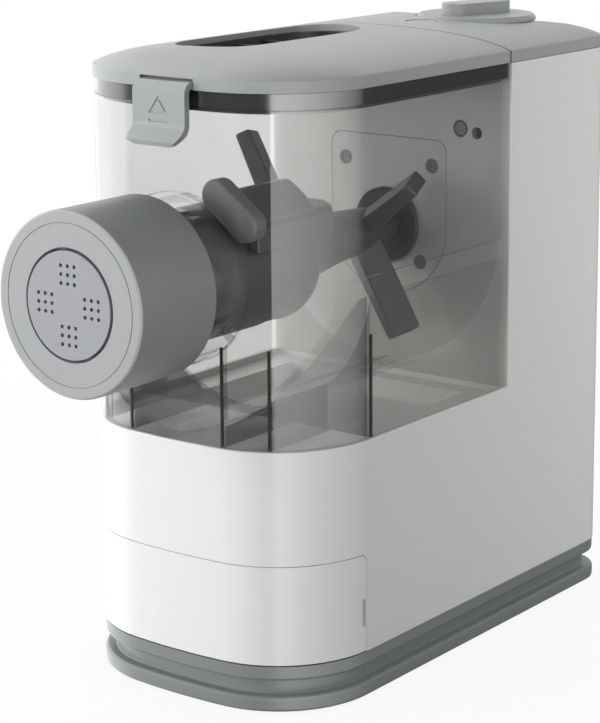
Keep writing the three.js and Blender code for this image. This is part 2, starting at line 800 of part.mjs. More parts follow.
function extrusionScrew() {
  const front = -nozzleReach - tubeFlange;
  const back = tubeBack - tubeEndWall - slideGap;
  const threadBack = back - screwThread;
  const turns = (threadBack - front - screwThread) / screwPitch;
  const steps = Math.round(turns * screwSteps);
  const side = screwThread / 2;
  const corners = [[screwCore / 2, -side], [screwRadius, -side], [screwRadius, side], [screwCore / 2, side]];
  const vertices = [];
  const faces = [];
  for (let i = 0; i <= steps; i += 1) {
    const angle = 2 * Math.PI * turns * i / steps;
    const place = front + screwThread / 2 + screwPitch * turns * i / steps;
    corners.forEach(([radius, beside]) => {
      vertices.push(radius * Math.cos(angle), place + beside, radius * Math.sin(angle));
    });
  }
  for (let i = 0; i < steps; i += 1) {
    for (let k = 0; k < 4; k += 1) {
      const a = i * 4 + k;
      const b = i * 4 + (k + 1) % 4;
      faces.push(a, b, b + 4, a, b + 4, a + 4);
    }
  }
  const end = steps * 4;
  faces.push(0, 2, 1, 0, 3, 2, end, end + 1, end + 2, end, end + 2, end + 3);
  const geometry = new THREE.BufferGeometry();
  geometry.setAttribute('position', new THREE.Float32BufferAttribute(vertices, 3));
  geometry.setIndex(faces);
  const half = tangWidth / 2 + seam;
  return rod(screwCore, front, back, middleSides).add(solid(geometry))
    .subtract(block(-half, back - tangLength, -half, half, back + overrun, half));
}

// Paddle: tang, shaft, hub, three blades and the long arm that scrapes round the tube
function alongPaddle(share) {
  return tubeBack + share * (towerFront - tubeBack);
}

function paddleBlade({ placeShare, angle, reachShare }) {
  const reach = troughRadius * reachShare;
  const blade = new THREE.BoxGeometry(reach, bladeWidth, bladeThickness)
    .translate(reach / 2, 0, 0)
    .rotateX(THREE.MathUtils.degToRad(bladeLean))
    .rotateY(-THREE.MathUtils.degToRad(angle))
    .translate(0, alongPaddle(placeShare), 0);
  return solid(blade);
}

function scraperArm() {
  const turn = THREE.MathUtils.degToRad(scraperAngle);
  const atScraper = (out, along) => new THREE.Vector2(
    out * Math.cos(turn) + along * Math.sin(turn), out * Math.sin(turn) - along * Math.cos(turn));
  const round = padHeight / 2;
  const pad = backwards(roundedBox(scraperInner, -padLength / 2, scraperInner + padHeight, padLength / 2,
    round - hair, 5), padFront, padFront + padThickness).rotate([0, -scraperAngle, 0]);
  const innerEnd = scraperInner * Math.tan(THREE.MathUtils.degToRad(hoodTo - scraperAngle)) * 2;
  const hood = backwards([
    atScraper(scraperInner, -innerEnd), atScraper(scraperInner, 0), ...arc(0, 0, hoodRadius,
      THREE.MathUtils.degToRad(hoodFrom), THREE.MathUtils.degToRad(hoodTo), 6),
    new THREE.Vector2(hoodEndX, hoodEndRise),
  ], padFront + padThickness / 2, towerFront * hoodBackShare);
  const beamTop = hoodUnderside + slideGap;
  const beam = backwards([
    [(scraperInner - 0.488 * beamLow) / 0.873, beamLow], [beamSide, beamLow], [beamSide, beamShoulder],
    [beamSide - 2.7, beamTop], [22.3, beamTop], [(scraperInner - 0.488 * 21.2) / 0.873, 21.2],
  ].map(([x, z]) => new THREE.Vector2(x, z)), towerFront * beamFrontShare, tubeBack + slideGap * 4);
  const rootFront = tubeBack + slideGap * 2;
  const web = upright([
    [hubRearRadius / 2, rootFront], [beamSide, rootFront], [webEndX, rootFront + 9],
    [hubRearRadius + 6, rootFront + bladeWidth], [hubRearRadius / 2, rootFront + bladeWidth],
  ].map(([x, y]) => new THREE.Vector2(x, y)), beamLow, hoodUnderside - slideGap);
  return joined(pad, hood, beam, web);
}

function paddle() {
  const tang = tangWidth / 2;
  const screwEnd = tubeBack - tubeEndWall - slideGap;
  const hubFront = tubeBack + slideGap * 2;
  const driveFront = towerFront + slideGap;
  const hubMiddle = alongPaddle(hubMiddleShare);
  const hubBack = alongPaddle(hubBackShare);
  const shaft = turnedBack([
    [0, screwEnd + seam], [paddleShaft, screwEnd + seam], [paddleShaft, hubFront], [hubFrontRadius, hubFront],
    [hubFrontRadius, hubFront + tubeShoulder], [hubMiddleRadius, hubMiddle], [hubRearRadius, hubBack],
    [paddleShaft, hubBack + seam], [paddleShaft, driveFront - seam], [0, driveFront - seam],
  ], middleSides);
  const frontTang = block(-tang, screwEnd - tangLength + seam, -tang, tang, screwEnd + tangLength / 2, tang);
  const rearTang = block(-tang, driveFront - tangLength / 2, -tang,
    tang, driveFront + socketDepth - seam, tang);
  return joined(shaft, frontTang, rearTang, scraperArm(), ...blades.map(paddleBlade));
}

// Shaping disc and the cap that holds it
function shapingDisc() {
  const front = -discReach;
  const seat = -nozzleReach - tubeFlange - 2 * seam;
  let body = turnedBack([[0, front], [discRadius - seam * 2, front], [discRadius, front + seam * 2],
    [discRadius, seat - discFlange], [discFlangeRadius, seat - discFlange], [discFlangeRadius, seat],
    [0, seat]], tubeSides);
  const directions = [[0, 1], [0, -1], [1, 0], [-1, 0]];
  directions.forEach(([dx, dz]) => {
    for (let i = -1; i <= 1; i += 1) {
      for (let k = -1; k <= 1; k += 1) {
        const x = dx * discGroupRadius + i * discHolePitch;
        const z = dz * discGroupRadius + k * discHolePitch;
        const hole = circle(discHoleRadius, discHoleSides, x, z);
        body = body.subtract(backwards(hole, front - overrun, seat + overrun));
      }
    }
  });
  return body;
}

function lockingCap() {
  const inner = capRadius - capWall;
  const front = -capFront;
  const innerBack = nozzleRadius + slideGap;
  return turnedBack([
    [discRadius + seam, front], [capRadius - capBevel, front], [capRadius, front + capBevel],
    [capRadius, -capBack], [innerBack, -capBack], [innerBack, -capBack - capWall],
    [inner, -capBack - capWall * 2], [inner, front + capFace], [discRadius + seam, front + capFace],
    [discRadius + seam, front],
  ], capSides);
}

// Tower front: flush cover plate with its four screws
function driveCoverSolid(gap, front, back) {
  const half = driveCoverHalf + gap;
  const top = axisHeight + driveCoverRise + gap;
  const corner = driveCoverCorner + gap;
  const outline = [
    ...arc(half - corner, top - corner, corner, 0, Math.PI / 2, 4),
    ...arc(-half + corner, top - corner, corner, Math.PI / 2, Math.PI, 4),
    ...arc(0, axisHeight, half, Math.PI, 2 * Math.PI, 14),
  ];
  return backwards(outline, front, back);
}

function driveCover() {
  let body = driveCoverSolid(0, towerFront, towerFront + driveCoverThickness)
    .subtract(backwards(circle(driveHole, largeSides, 0, axisHeight), towerFront - overrun, wallBack));
  coverScrewPlaces.forEach(([x, z]) => {
    const sink = turnedBack([[0, -overrun], [screwHead + seam, -overrun], [screwHead + seam, seam],
      [screwShank + seam, screwHeadDepth + seam], [screwShank + seam, towerWall],
      [0, towerWall]], smallSides);
    body = body.subtract(sink.translate(x, towerFront, axisHeight + z));
  });
  return body;
}

// Gears with straight-sided teeth, thin enough to run with play
function gearPoints(teeth, module, phase) {
  const pitch = module * teeth / 2;
  const step = 2 * Math.PI / teeth;
  const tip = pitch + module * addendumShare;
  const root = pitch - module * dedendumShare;
  const points = [];
  for (let i = 0; i < teeth; i += 1) {
    const middle = phase + i * step;
    [[root, -gearRootShare], [tip, -gearTipShare], [tip, gearTipShare], [root, gearRootShare]]
      .forEach(([radius, share]) => {
        const angle = middle + share * step;
        points.push(new THREE.Vector2(radius * Math.cos(angle), radius * Math.sin(angle)));
      });
  }
  return points;
}

const outputFront = caseFront + bossLength + gearGap;
const inputFront = outputFront + outputFace + gearGap;
const caseInnerBack = inputFront + inputFace + gearGap;
const caseOuterBack = caseInnerBack + caseBack;
const toothDown = -Math.PI / 2;
const gapUp = Math.PI / 2 + Math.PI / pinionTeeth;

function outputGear() {
  return backwards(gearPoints(outputTeeth, outputModule, toothDown), outputFront, outputFront + outputFace,
    [circle(outputShaft + seam, middleSides)]);
}

function idlerGear() {
  return backwards(gearPoints(inputTeeth, inputModule, toothDown), inputFront, inputFront + inputFace,
    [circle(idlerShaft + seam, middleSides)]);
}

function idlerPinion() {
  const teeth = gearPoints(pinionTeeth, outputModule, gapUp);
  return backwards(teeth, outputFront, outputFront + outputFace)
    .add(rod(idlerShaft, caseFront + seam, caseOuterBack - seam, middleSides));
}

function motorPinion() {
  return backwards(gearPoints(pinionTeeth, inputModule, gapUp), inputFront, inputFront + inputFace,
    [circle(motorShaft + seam, smallSides)]);
}

// Output shaft, with the cup that takes the paddle's tang
function outputShaftBody() {
  const front = towerFront + slideGap;
  const cupBack = front + couplingLength;
  const half = tangWidth / 2 + seam;
  return turnedBack([[0, front], [couplingRadius, front], [couplingRadius, cupBack], [outputShaft, cupBack],
    [outputShaft, caseOuterBack - seam], [0, caseOuterBack - seam]], middleSides)
    .subtract(block(-half, front - overrun, -half, half, front + socketDepth, half));
}

function bearing(shaft, middle) {
  const half = bearingWidth / 2;
  return ring(shaft + seam, shaft + bearingWall, middle - half, middle + half, middleSides);
}

// Gear case: a plate behind the tower wall, and a shell over it that carries the motor
function caseOutline(grow) {
  const side = outputModule * outputTeeth / 2 + outputModule + caseMargin + grow;
  const low = motorAxis - inputModule * pinionTeeth - caseMargin - grow;
  const corner = caseCorner + grow;
  return [
    ...arc(0, axisHeight, side, 0, Math.PI, 14),
    ...arc(-side + corner, low + corner, corner, Math.PI, 1.5 * Math.PI, 4),
    ...arc(side - corner, low + corner, corner, 1.5 * Math.PI, 2 * Math.PI, 4),
  ];
}

function gearPlate() {
  const boss = caseFront + bossLength;
  const seatFront = boss - bearingWidth - seam;
  const low = caseFront - overrun;
  const high = boss + overrun;
  const atAxis = (radius, front, back) => rod(radius, front, back, middleSides).translate(0, 0, axisHeight);
  const atPinion = (radius, front, back) => rod(radius, front, back, middleSides).translate(0, 0, pinionAxis);
  let body = backwards(caseOutline(caseWall), caseFront, caseFront + plateThickness)
    .add(atAxis(couplingRadius + bearingWall, caseFront, boss))
    .add(atPinion(idlerShaft + bearingWall * 2, caseFront, boss))
    .subtract(atAxis(couplingRadius + slideGap, low, seatFront))
    .subtract(atAxis(outputShaft + bearingWall + seam, caseFront, high))
    .subtract(atPinion(idlerShaft + bearingWall + seam, low, high));
  coverScrewPlaces.forEach(([x, z]) => {
    const hole = circle(screwShank + seam, smallSides, x, axisHeight + z);
    body = body.subtract(backwards(hole, low, caseFront + plateThickness + overrun));
  });
  return body;
}

function gearCase() {
  const front = caseFront + plateThickness + seam;
  const through = [caseInnerBack - overrun, caseOuterBack + overrun];
  let body = backwards(caseOutline(caseWall), front, caseOuterBack)
    .subtract(backwards(caseOutline(0), front - overrun, caseInnerBack));
  [[outputShaft, axisHeight], [idlerShaft, pinionAxis]].forEach(([shaft, height]) => {
    const seat = rod(shaft + bearingWall + seam, ...through, middleSides);
    body = body.subtract(seat.translate(0, 0, height));
  });
  return body.subtract(rod(motorShaft + slideGap * 2, ...through, smallSides).translate(0, 0, motorAxis));
}

// Motor, drawn about its own axis
const motorFront = caseOuterBack + seam;
const motorBack = motorFront + motorLength;
const statorFront = motorFront + motorWall + gearGap * 4;

function motorFrame() {
  return turnedBack([[motorShaft + seam, motorFront], [motorRadius, motorFront], [motorRadius, motorBack],
    [motorRadius - motorWall, motorBack], [motorRadius - motorWall, motorFront + motorWall],
    [motorShaft + seam, motorFront + motorWall], [motorShaft + seam, motorFront]], motorSides);
}

function motorStator() {
  const outer = motorRadius - motorWall - seam;
  return ring(outer - statorWall, outer, statorFront, statorFront + statorLength, motorSides);
}

function motorEndPlate() {
  return ring(motorShaft + seam, motorRadius, motorBack + seam, motorBack + seam + motorEnd, motorSides);
}

function motorRotor() {
  const outer = motorRadius - motorWall - seam - statorWall - slideGap;
  const middle = statorFront + statorLength / 2;
  return rod(outer, middle - rotorLength / 2, middle + rotorLength / 2, motorSides)
    .add(rod(motorShaft, inputFront - seam, motorBack + motorEnd + fanWidth + gearGap, smallSides));
}

function motorFan() {
  const front = motorBack + seam + motorEnd + gearGap;
  const back = front + fanWidth;
  const half = fanBladeThickness / 2;
  const parts = [rod(fanHub, front, back, smallSides)];
  for (let i = 0; i < fanBlades; i += 1) {
    const blade = block(fanHub / 2, front, -half, fanRadius, back, half);
    parts.push(blade.rotate([0, 360 * i / fanBlades, 0]));
  }
  return joined(...parts).subtract(rod(motorShaft + seam, front - overrun, back + overrun, smallSides));
}

// Domed tops of lid and tower cover
function domeLayers(inset, drop) {
  return domeInsetShares.map((share, i) => [
    inset + share * (halfWidth - inset), rimTop + domeRise * domeRiseShares[i] - drop]);
}

function seamArc(gap) {
  const half = halfWidth + overrun;
  const radius = (halfWidth ** 2 + lidArcSag ** 2) / (2 * lidArcSag);
  const centre = lidArcEnd - lidArcSag + radius;
  const swing = Math.asin(half / radius);
  return arc(0, centre, radius - gap, -Math.PI / 2 - swing, -Math.PI / 2 + swing, lidArcSteps);
}

function aheadOfSeam(gap) {
  const far = bodyWidth;
  const edge = seamArc(-gap);
  const ends = [[-far, edge[0].y], [-far, -bodyLength], [far, -bodyLength], [far, edge.at(-1).y]];
  return upright([...ends.map(([x, y]) => new THREE.Vector2(x, y)), ...edge.reverse()], 0, bodyLength * 2);
}

function slotShape(shrink) {
  const corner = ([x, y]) => new THREE.Vector2(
    slotPlace[0] + x * (slotHalfWidth - shrink), slotPlace[1] + y * (slotHalfLength - shrink));
  const start = corner(slotLeftShares.at(-1));
  const shape = new THREE.Shape().moveTo(start.x, start.y);
  shape.splineThru(slotRightShares.map(corner));
  shape.splineThru(slotLeftShares.map(corner));
  return shape.getPoints(slotSteps).slice(0, -1);
}

function lid() {
  const outer = stack([[0, rimFoot], ...domeLayers(0, 0)]);
  const hollow = domeLayers(lidFlange, lidWall);
  const ahead = aheadOfSeam(seam);
  const inside = stack([[lidFlange, rimFoot - overrun], ...hollow]);
  const notch = latchHalfWidth + seam;
  const pin = across(circle(latchPin + seam, smallSides, latchPivotSunk, latchMiddle),
    -notch - latchPinEar, notch + latchPinEar);
  return outer.intersect(ahead)
    .subtract(inside.intersect(aheadOfSeam(lidWall + seam)))
    .subtract(upright(slotShape(0), rimFoot - overrun, domeTop + overrun))
    .subtract(block(-notch, -overrun, rimFoot - overrun,
      notch, latchPivotSunk + latchBarrel + seam, rimFoot + latchSlotHeight))
    .subtract(pin);
}

function lidSeal() {
  const plugInset = chamberInset + chamberWall + slideGap;
  const top = towerHeight;
  const shoulder = chamberTop + seam;
  const back = chamberBack - rearWall - slideGap;
  const band = stack([[sealInset, shoulder], [sealInset, top]])
    .intersect(aheadOfSeam(slideGap));
  const plug = stack([[plugInset, shoulder - sealPlug], [plugInset, shoulder + seam]])
    .intersect(slab(-overrun, back)).intersect(aheadOfSeam(slideGap));
  const inner = plugInset + sealWidth;
  const notch = sealNotch;
  return band.add(plug)
    .subtract(stack([[inner, shoulder - sealPlug - overrun], [inner, top + overrun]])
      .intersect(slab(-overrun, back - sealWidth)).intersect(aheadOfSeam(slideGap + sealWidth)))
    .subtract(block(-notch, -overrun, shoulder - overrun,
      notch, latchPivotSunk + latchBarrel, top + overrun));
}

function inletGrille() {
  const top = rimTop + domeRise / 2;
  const low = top - grilleDepth;
  const body = upright(slotShape(seam), low, top)
    .subtract(upright(slotShape(grilleWall + seam), low - overrun, top + overrun));
  const filled = upright(slotShape(grilleWall / 2), low, top);
  const ribs = grilleRibShares.map((share) => {
    const place = slotPlace[1] + share * slotHalfLength;
    const half = grilleRib / 2;
    return block(-bodyWidth, place - half, low, bodyWidth, place + half, top - grilleWall);
  });
  return body.add(joined(...ribs).intersect(filled));
}

// Latch: a bent strip that hangs from a pin in the lid's rim
function latchPath() {
  const top = latchMiddle;
  const bendLow = top - latchNeck;
  const flareTop = bendLow - latchStraight;
  const flare = latchFlareShares.map(([out, down]) => [
    -latchStandoff - out * latchFlareReach, flareTop - down * latchFlareHeight]);
  return [[latchPivotSunk, top], [latchThickness / 2 - latchStandoff, top],
    [-latchStandoff, top - latchThickness / 2], [-latchStandoff, bendLow], ...flare];
}

function strip(path, thickness) {
  const points = path.map(([y, z]) => new THREE.Vector2(y, z));
  const left = [];
  const right = [];
  points.forEach((point, i) => {
    const before = points[Math.max(i - 1, 0)];
    const after = points[Math.min(i + 1, points.length - 1)];
    const along = after.clone().sub(before).normalize();
    const beside = new THREE.Vector2(-along.y, along.x).multiplyScalar(thickness / 2);
    left.push(point.clone().add(beside));
    right.push(point.clone().sub(beside));
  });
  return [...right, ...left.reverse()];
}

function latch() {
  const arm = across(strip(latchPath(), latchThickness), -latchHalfWidth, latchHalfWidth);
  const barrel = across(circle(latchBarrel, smallSides, latchPivotSunk, latchMiddle),
    -latchHalfWidth, latchHalfWidth);
  const bore = circle(latchPin + seam, smallSides, latchPivotSunk, latchMiddle);
  return arm.add(barrel).subtract(across(bore, -bodyWidth, bodyWidth));
}

function latchPinBody() {
  const half = latchHalfWidth + latchPinEar;
  return across(circle(latchPin, smallSides, latchPivotSunk, latchMiddle), -half, half);
}

// Tower cover, with the wells for knob and button and the posts for the circuit board
function boardPlaces() {
  const side = boardWidth / 2 - boardPostInset;
  const front = lidArcEnd + boardFromSeam + boardPostInset;
  const back = bodyLength - boardFromRear - boardPostInset;
  return [[-side, front], [side, front], [-side, back], [side, back]];
}

function buttonOutline(gap) {
  return circle(buttonRadius + gap, middleSides, ...buttonPlace);
}

function towerCover() {
  const outer = stack([[0, rimFoot], ...domeLayers(0, 0)]);
  const inside = stack([[coverWall, rimFoot - overrun], ...domeLayers(coverWall, coverWall)]);
  const behind = outer.subtract(aheadOfSeam(-seam));
  const hollow = inside.subtract(aheadOfSeam(-seam - coverWall));
  const nose = stack([[sealInset, chamberTop + seam], [sealInset, rimFoot + seam]])
    .intersect(slab(-overrun, chamberBack)).subtract(aheadOfSeam(-seam));
  let body = behind.subtract(hollow).add(nose);
  const well = domeTop - knobSunk - seam;
  const high = domeTop + overrun;
  body = body
    .add(upright(circle(knobSocket, middleSides, ...knobPlace), well - coverWall, well))
    .subtract(upright(circle(knobRadius + slideGap, capSides, ...knobPlace), well, high))
    .subtract(upright(circle(knobStem + slideGap, smallSides, ...knobPlace), rimFoot, high))
    .subtract(upright(buttonOutline(seam), rimFoot, high));
  boardPlaces().forEach(([x, y]) => {
    const post = circle(boardPostRadius, smallSides, x, y);
    body = body.add(upright(post, boardTop + seam, rimTop + domeRise / 2));
  });
  return body;
}

function knob() {
  const foot = domeTop - knobSunk;
  const top = foot + knobCollar;
  const half = gripWidth / 2;
  const grip = roundedBox(-gripLength / 2, -half, gripLength / 2, half, half - hair, 5);
  const collar = turnedUp([[0, foot], [knobRadius, foot], [knobRadius - seam, foot + knobCollar / 2],
    [knobRadius - knobCollar / 2, top], [0, top]], capSides);
  return collar
    .add(upright(grip, top - seam, top + gripHeight).rotate([0, 0, gripTurn]))
    .add(upright(circle(knobStem, smallSides), boardTop + switchSize / 2, foot + seam));
}

function startButton() {
  const top = domeTop - seam;
  const low = top - buttonThickness;
  return upright(buttonOutline(0), low, top)
    .add(upright(circle(buttonStem, smallSides, ...buttonPlace), low - buttonStemLength, low + seam));
}

// Circuit board with its switches
function board() {
  const front = lidArcEnd + boardFromSeam;
  const half = boardWidth / 2;
  return block(-half, front, boardTop - boardThickness, half, bodyLength - boardFromRear, boardTop);
}

function selectorSwitch() {
  const half = switchSize / 2;
  const high = boardTop + switchSize;
  const socket = circle(knobStem + seam, smallSides);
  return block(-half, -half, boardTop + seam, half, half, high)
    .subtract(upright(socket, boardTop + half - seam, high + overrun));
}

function startSwitch() {
  const half = startSwitchSize / 2;
  const stemFoot = domeTop - seam - buttonThickness - buttonStemLength;
  const [x, y] = buttonPlace;
  return block(x - half, y - half, boardTop + seam, x + half, y + half, stemFoot - buttonTravel - seam);
}

function lidSwitch() {
  const [width, depth, height] = lidSwitchBody;
  const [x, z] = lidSwitchPlace;
  const front = wallBack + seam;
  return block(x - width / 2, front, z - height / 2, x + width / 2, front + depth, z + height / 2)
    .add(rod(lidSwitchHole - slideGap * 2, towerFront + seam, front + seam, smallSides).translate(x, 0, z));
}

// The machine put together
function aboutAxis(height, ...meshes) {
  const group = new THREE.Group();
  group.position.z = height;
  group.add(...meshes);
  return group;
}

function feet() {
  return footPlaces().map(([x, y], i) => piece(`rubber_foot_${i + 1}`, foot(), black, x, y));
}

function baseScrews() {
  const length = baseFloor + postRadius * 2;
  return postPlaces().map(([x, y], i) => (
    piece(`base_screw_${i + 1}`, screw(length), steel, x, y, footHeight)));
}

function coverScrews() {
  return coverScrewPlaces.map(([x, z], i) => {
    const name = `drive_cover_screw_${i + 1}`;
    const mesh = piece(name, screw(coverScrewLength), steel, x, towerFront + seam / 2, z);
    mesh.rotation.x = -Math.PI / 2;
    return mesh;
  });
}

const machine = new THREE.Group();
machine.add(
  piece('base', base(), baseGrey),
  ...feet(),
  ...baseScrews(),
  piece('main_housing', housing(), glossWhite),
  piece('storage_drawer', drawer(), glossWhite),
  piece('drawer_liner', drawerLiner(), black),
  piece('mixing_chamber', chamber(), smokyClear),
  piece('lid', lid(), satinGrey),
  piece('lid_seal', lidSeal(), darkSeal),
  piece('inlet_grille', inletGrille(), darkSeal),
  piece('lid_latch', latch(), satinGrey),
  piece('latch_pin', latchPinBody(), steel),
  piece('tower_cover', towerCover(), satinGrey),
  piece('control_knob', knob(), satinGrey, knobPlace[0], knobPlace[1]),
  piece('start_button', startButton(), satinGrey),
  piece('control_board', board(), boardGreen),
  piece('selector_switch', selectorSwitch(), black, knobPlace[0], knobPlace[1]),
  piece('start_switch', startSwitch(), black),
  piece('lid_switch', lidSwitch(), black),
  piece('cord_gland', gland(), black, glandPlace[0], 0, glandPlace[1]),
  piece('drive_cover', driveCover(), glossWhite),
  piece('gear_plate', gearPlate(), black),
  piece('gear_case', gearCase(), black),
);
machine.add(aboutAxis(axisHeight,
  piece('locking_cap', lockingCap(), capGrey),
  piece('shaping_disc', shapingDisc(), discGrey),
  piece('extruding_tube', extrudingTube(), tubeGrey),
  piece('extrusion_screw', extrusionScrew(), paddleGrey),
  piece('kneading_paddle', paddle(), paddleGrey),
  piece('shaft_seal', shaftSeal(), darkSeal),
  piece('output_shaft', outputShaftBody(), steel),
  piece('output_gear', outputGear(), gearWhite),
  piece('output_bearing_front', bearing(outputShaft, caseFront + bossLength - bearingWidth / 2), bronze),
  piece('output_bearing_rear', bearing(outputShaft, caseOuterBack - bearingWidth / 2), bronze),
  ...coverScrews(),
));
machine.add(aboutAxis(pinionAxis,
  piece('idler_pinion', idlerPinion(), steel),
  piece('idler_gear', idlerGear(), gearWhite),
  piece('idler_bearing_front', bearing(idlerShaft, caseFront + bossLength - bearingWidth / 2), bronze),
  piece('idler_bearing_rear', bearing(idlerShaft, caseOuterBack - bearingWidth / 2), bronze),
));
machine.add(aboutAxis(motorAxis,
  piece('motor_pinion', motorPinion(), steel),
  piece('motor_frame', motorFrame(), steel),
  piece('motor_stator', motorStator(), bronze),
  piece('motor_rotor', motorRotor(), steel),
  piece('motor_end_plate', motorEndPlate(), steel),
  piece('motor_fan', motorFan(), black),
));
machine.position.y = -middleY;

export default machine;
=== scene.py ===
import math

import bmesh
import bpy
from mathutils import Matrix, Vector


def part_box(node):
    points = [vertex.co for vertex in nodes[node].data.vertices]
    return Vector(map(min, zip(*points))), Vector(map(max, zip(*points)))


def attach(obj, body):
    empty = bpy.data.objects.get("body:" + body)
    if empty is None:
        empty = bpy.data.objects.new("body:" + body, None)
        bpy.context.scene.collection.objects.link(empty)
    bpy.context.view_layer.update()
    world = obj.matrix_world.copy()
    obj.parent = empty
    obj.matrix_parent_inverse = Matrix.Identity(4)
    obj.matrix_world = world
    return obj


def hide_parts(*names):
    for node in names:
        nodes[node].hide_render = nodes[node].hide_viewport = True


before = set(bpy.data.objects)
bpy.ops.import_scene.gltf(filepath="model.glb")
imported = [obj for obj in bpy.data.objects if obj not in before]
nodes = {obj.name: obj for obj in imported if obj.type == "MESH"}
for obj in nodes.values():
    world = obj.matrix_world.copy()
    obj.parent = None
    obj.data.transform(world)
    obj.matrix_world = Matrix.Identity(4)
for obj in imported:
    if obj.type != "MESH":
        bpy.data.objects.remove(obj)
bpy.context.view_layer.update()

# Camera
# It stands in front of the machine's right front corner, a little above it, at the photo's distance.
# The numbers come from a fit of a pinhole camera to the body's edges.
camera_place = (0.6186, -0.8085, 0.3841)
bpy.ops.object.select_all(action="DESELECT")
bpy.ops.object.camera_add(location=camera_place)
camera = bpy.context.object
camera.name = "photo_camera"
heading, pitch, tilt = math.radians(36.78), math.radians(11.51), math.radians(-0.22)
backward = Vector((math.sin(heading) * math.cos(pitch), -math.cos(heading) * math.cos(pitch),
                   math.sin(pitch)))
level = Vector((math.cos(heading), math.sin(heading), 0))
upward = backward.cross(level)
across = level * math.cos(tilt) + upward * math.sin(tilt)
upward = upward * math.cos(tilt) - level * math.sin(tilt)
turn = Matrix((across, upward, backward)).transposed()
camera.matrix_world = Matrix.Translation(camera.location) @ turn.to_4x4()
camera.data.sensor_width = 36
camera.data.lens = 115.55
camera.data.shift_x = -0.0415
camera.data.shift_y = -0.1397
camera.data.clip_end = 20
bpy.context.scene.camera = camera


# Base with its rubber feet and screws
# A grey moulded foot: a low ring, a recessed neck and a rim on which the white body sits.
# The feet are pressed into pockets, and four screws go up through its floor into the body.
body_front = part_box("main_housing")[0].y
# Sizes are in millimetres: y runs back from the body's foremost point, and z up from the table.
half_width, body_length = 67.5, 249
front_bow, front_corner, rear_corner = 270, 47, 17


def at(x, y, z):
    """Millimetres to a place in the frame."""
    return Vector((x / 1000, y / 1000 + body_front, z / 1000))


def millimetres(place):
    """A place in the frame back to millimetres."""
    return place.x * 1000, (place.y - body_front) * 1000, place.z * 1000


def work_on(piece):
    bpy.ops.object.select_all(action="DESELECT")
    piece.select_set(True)
    bpy.context.view_layer.objects.active = piece


def pick(piece, kind, test):
    """In edit mode, selects each vertex, edge or face whose corners all pass a test of x, y and z."""
    bpy.ops.mesh.select_mode(type=kind)
    bpy.ops.mesh.select_all(action="DESELECT")
    mesh = bmesh.from_edit_mesh(piece.data)
    for part in {"VERT": mesh.verts, "EDGE": mesh.edges, "FACE": mesh.faces}[kind]:
        corners = [part] if kind == "VERT" else part.verts
        part.select_set(all(test(*millimetres(corner.co)) for corner in corners))
    bmesh.update_edit_mesh(piece.data)


merge_reach = 0.000005


def tidy_mesh():
    """In edit mode: seams are merged and every face is turned outwards."""
    bpy.ops.mesh.select_all(action="SELECT")
    bpy.ops.mesh.remove_doubles(threshold=merge_reach)
    bpy.ops.mesh.normals_make_consistent(inside=False)
    bpy.ops.object.mode_set(mode="OBJECT")


def draw_line(name, points):
    """A line of edges through the given places, left in edit mode with all of it selected."""
    bpy.ops.object.select_all(action="DESELECT")
    bpy.ops.mesh.primitive_plane_add(size=0.01)
    piece = bpy.context.object
    piece.name = name
    bpy.ops.object.mode_set(mode="EDIT")
    bpy.ops.mesh.select_mode(type="VERT")
    bpy.ops.mesh.merge(type="CENTER")
    bpy.ops.transform.translate(value=points[0])
    for before, after in zip(points, points[1:]):
        bpy.ops.mesh.extrude_region_move(TRANSFORM_OT_translate={"value": after - before})
    bpy.ops.mesh.select_all(action="SELECT")
    return piece


def pull_out(x, y, z):
    """In edit mode, extrudes what is selected by so many millimetres."""
    bpy.ops.mesh.extrude_region_move(TRANSFORM_OT_translate={"value": (x / 1000, y / 1000, z / 1000)})


def swing_round_body(name, profile):
    """A profile of (inset, height) is swung round the body's plan: bowed front, large front corners."""
    piece = draw_line(name, [at(0, inset, height) for inset, height in profile])
    corner_x = front_corner - half_width
    corner_y = front_bow - math.sqrt((front_bow - front_corner) ** 2 - corner_x ** 2)
    lean = math.atan2(-corner_x, front_bow - corner_y)
    rear_x, rear_y = rear_corner - half_width, body_length - rear_corner
    up = (0, 0, 1)
    bpy.ops.mesh.spin(steps=8, angle=lean, center=at(0, front_bow, 0), axis=up)
    bpy.ops.mesh.spin(steps=24, angle=math.pi / 2 - lean, center=at(corner_x, corner_y, 0), axis=up)
    pull_out(0, rear_y - corner_y, 0)
    bpy.ops.mesh.spin(steps=12, angle=math.pi / 2, center=at(rear_x, rear_y, 0), axis=up)
    pull_out(-rear_x, 0, 0)
    bpy.ops.mesh.select_all(action="SELECT")
    bpy.ops.mesh.symmetrize(direction="NEGATIVE_X", threshold=2 * merge_reach)
    bpy.ops.mesh.select_all(action="SELECT")
    bpy.ops.mesh.remove_doubles(threshold=merge_reach)
    bpy.ops.mesh.select_mode(type="EDGE")
    bpy.ops.mesh.select_non_manifold(extend=False)
    if bpy.context.object.data.total_edge_sel:
        bpy.ops.mesh.edge_face_add()
    tidy_mesh()
    return piece


def box_between(name, low, high):
    """A plain block as a start for a cutter or a piece, between two places."""
    bpy.ops.object.select_all(action="DESELECT")
    bpy.ops.mesh.primitive_cube_add(size=1, location=(Vector(low) + Vector(high)) / 2)
    piece = bpy.context.object
    piece.name = name
    piece.scale = Vector(high) - Vector(low)
    bpy.ops.object.transform_apply()
    return piece


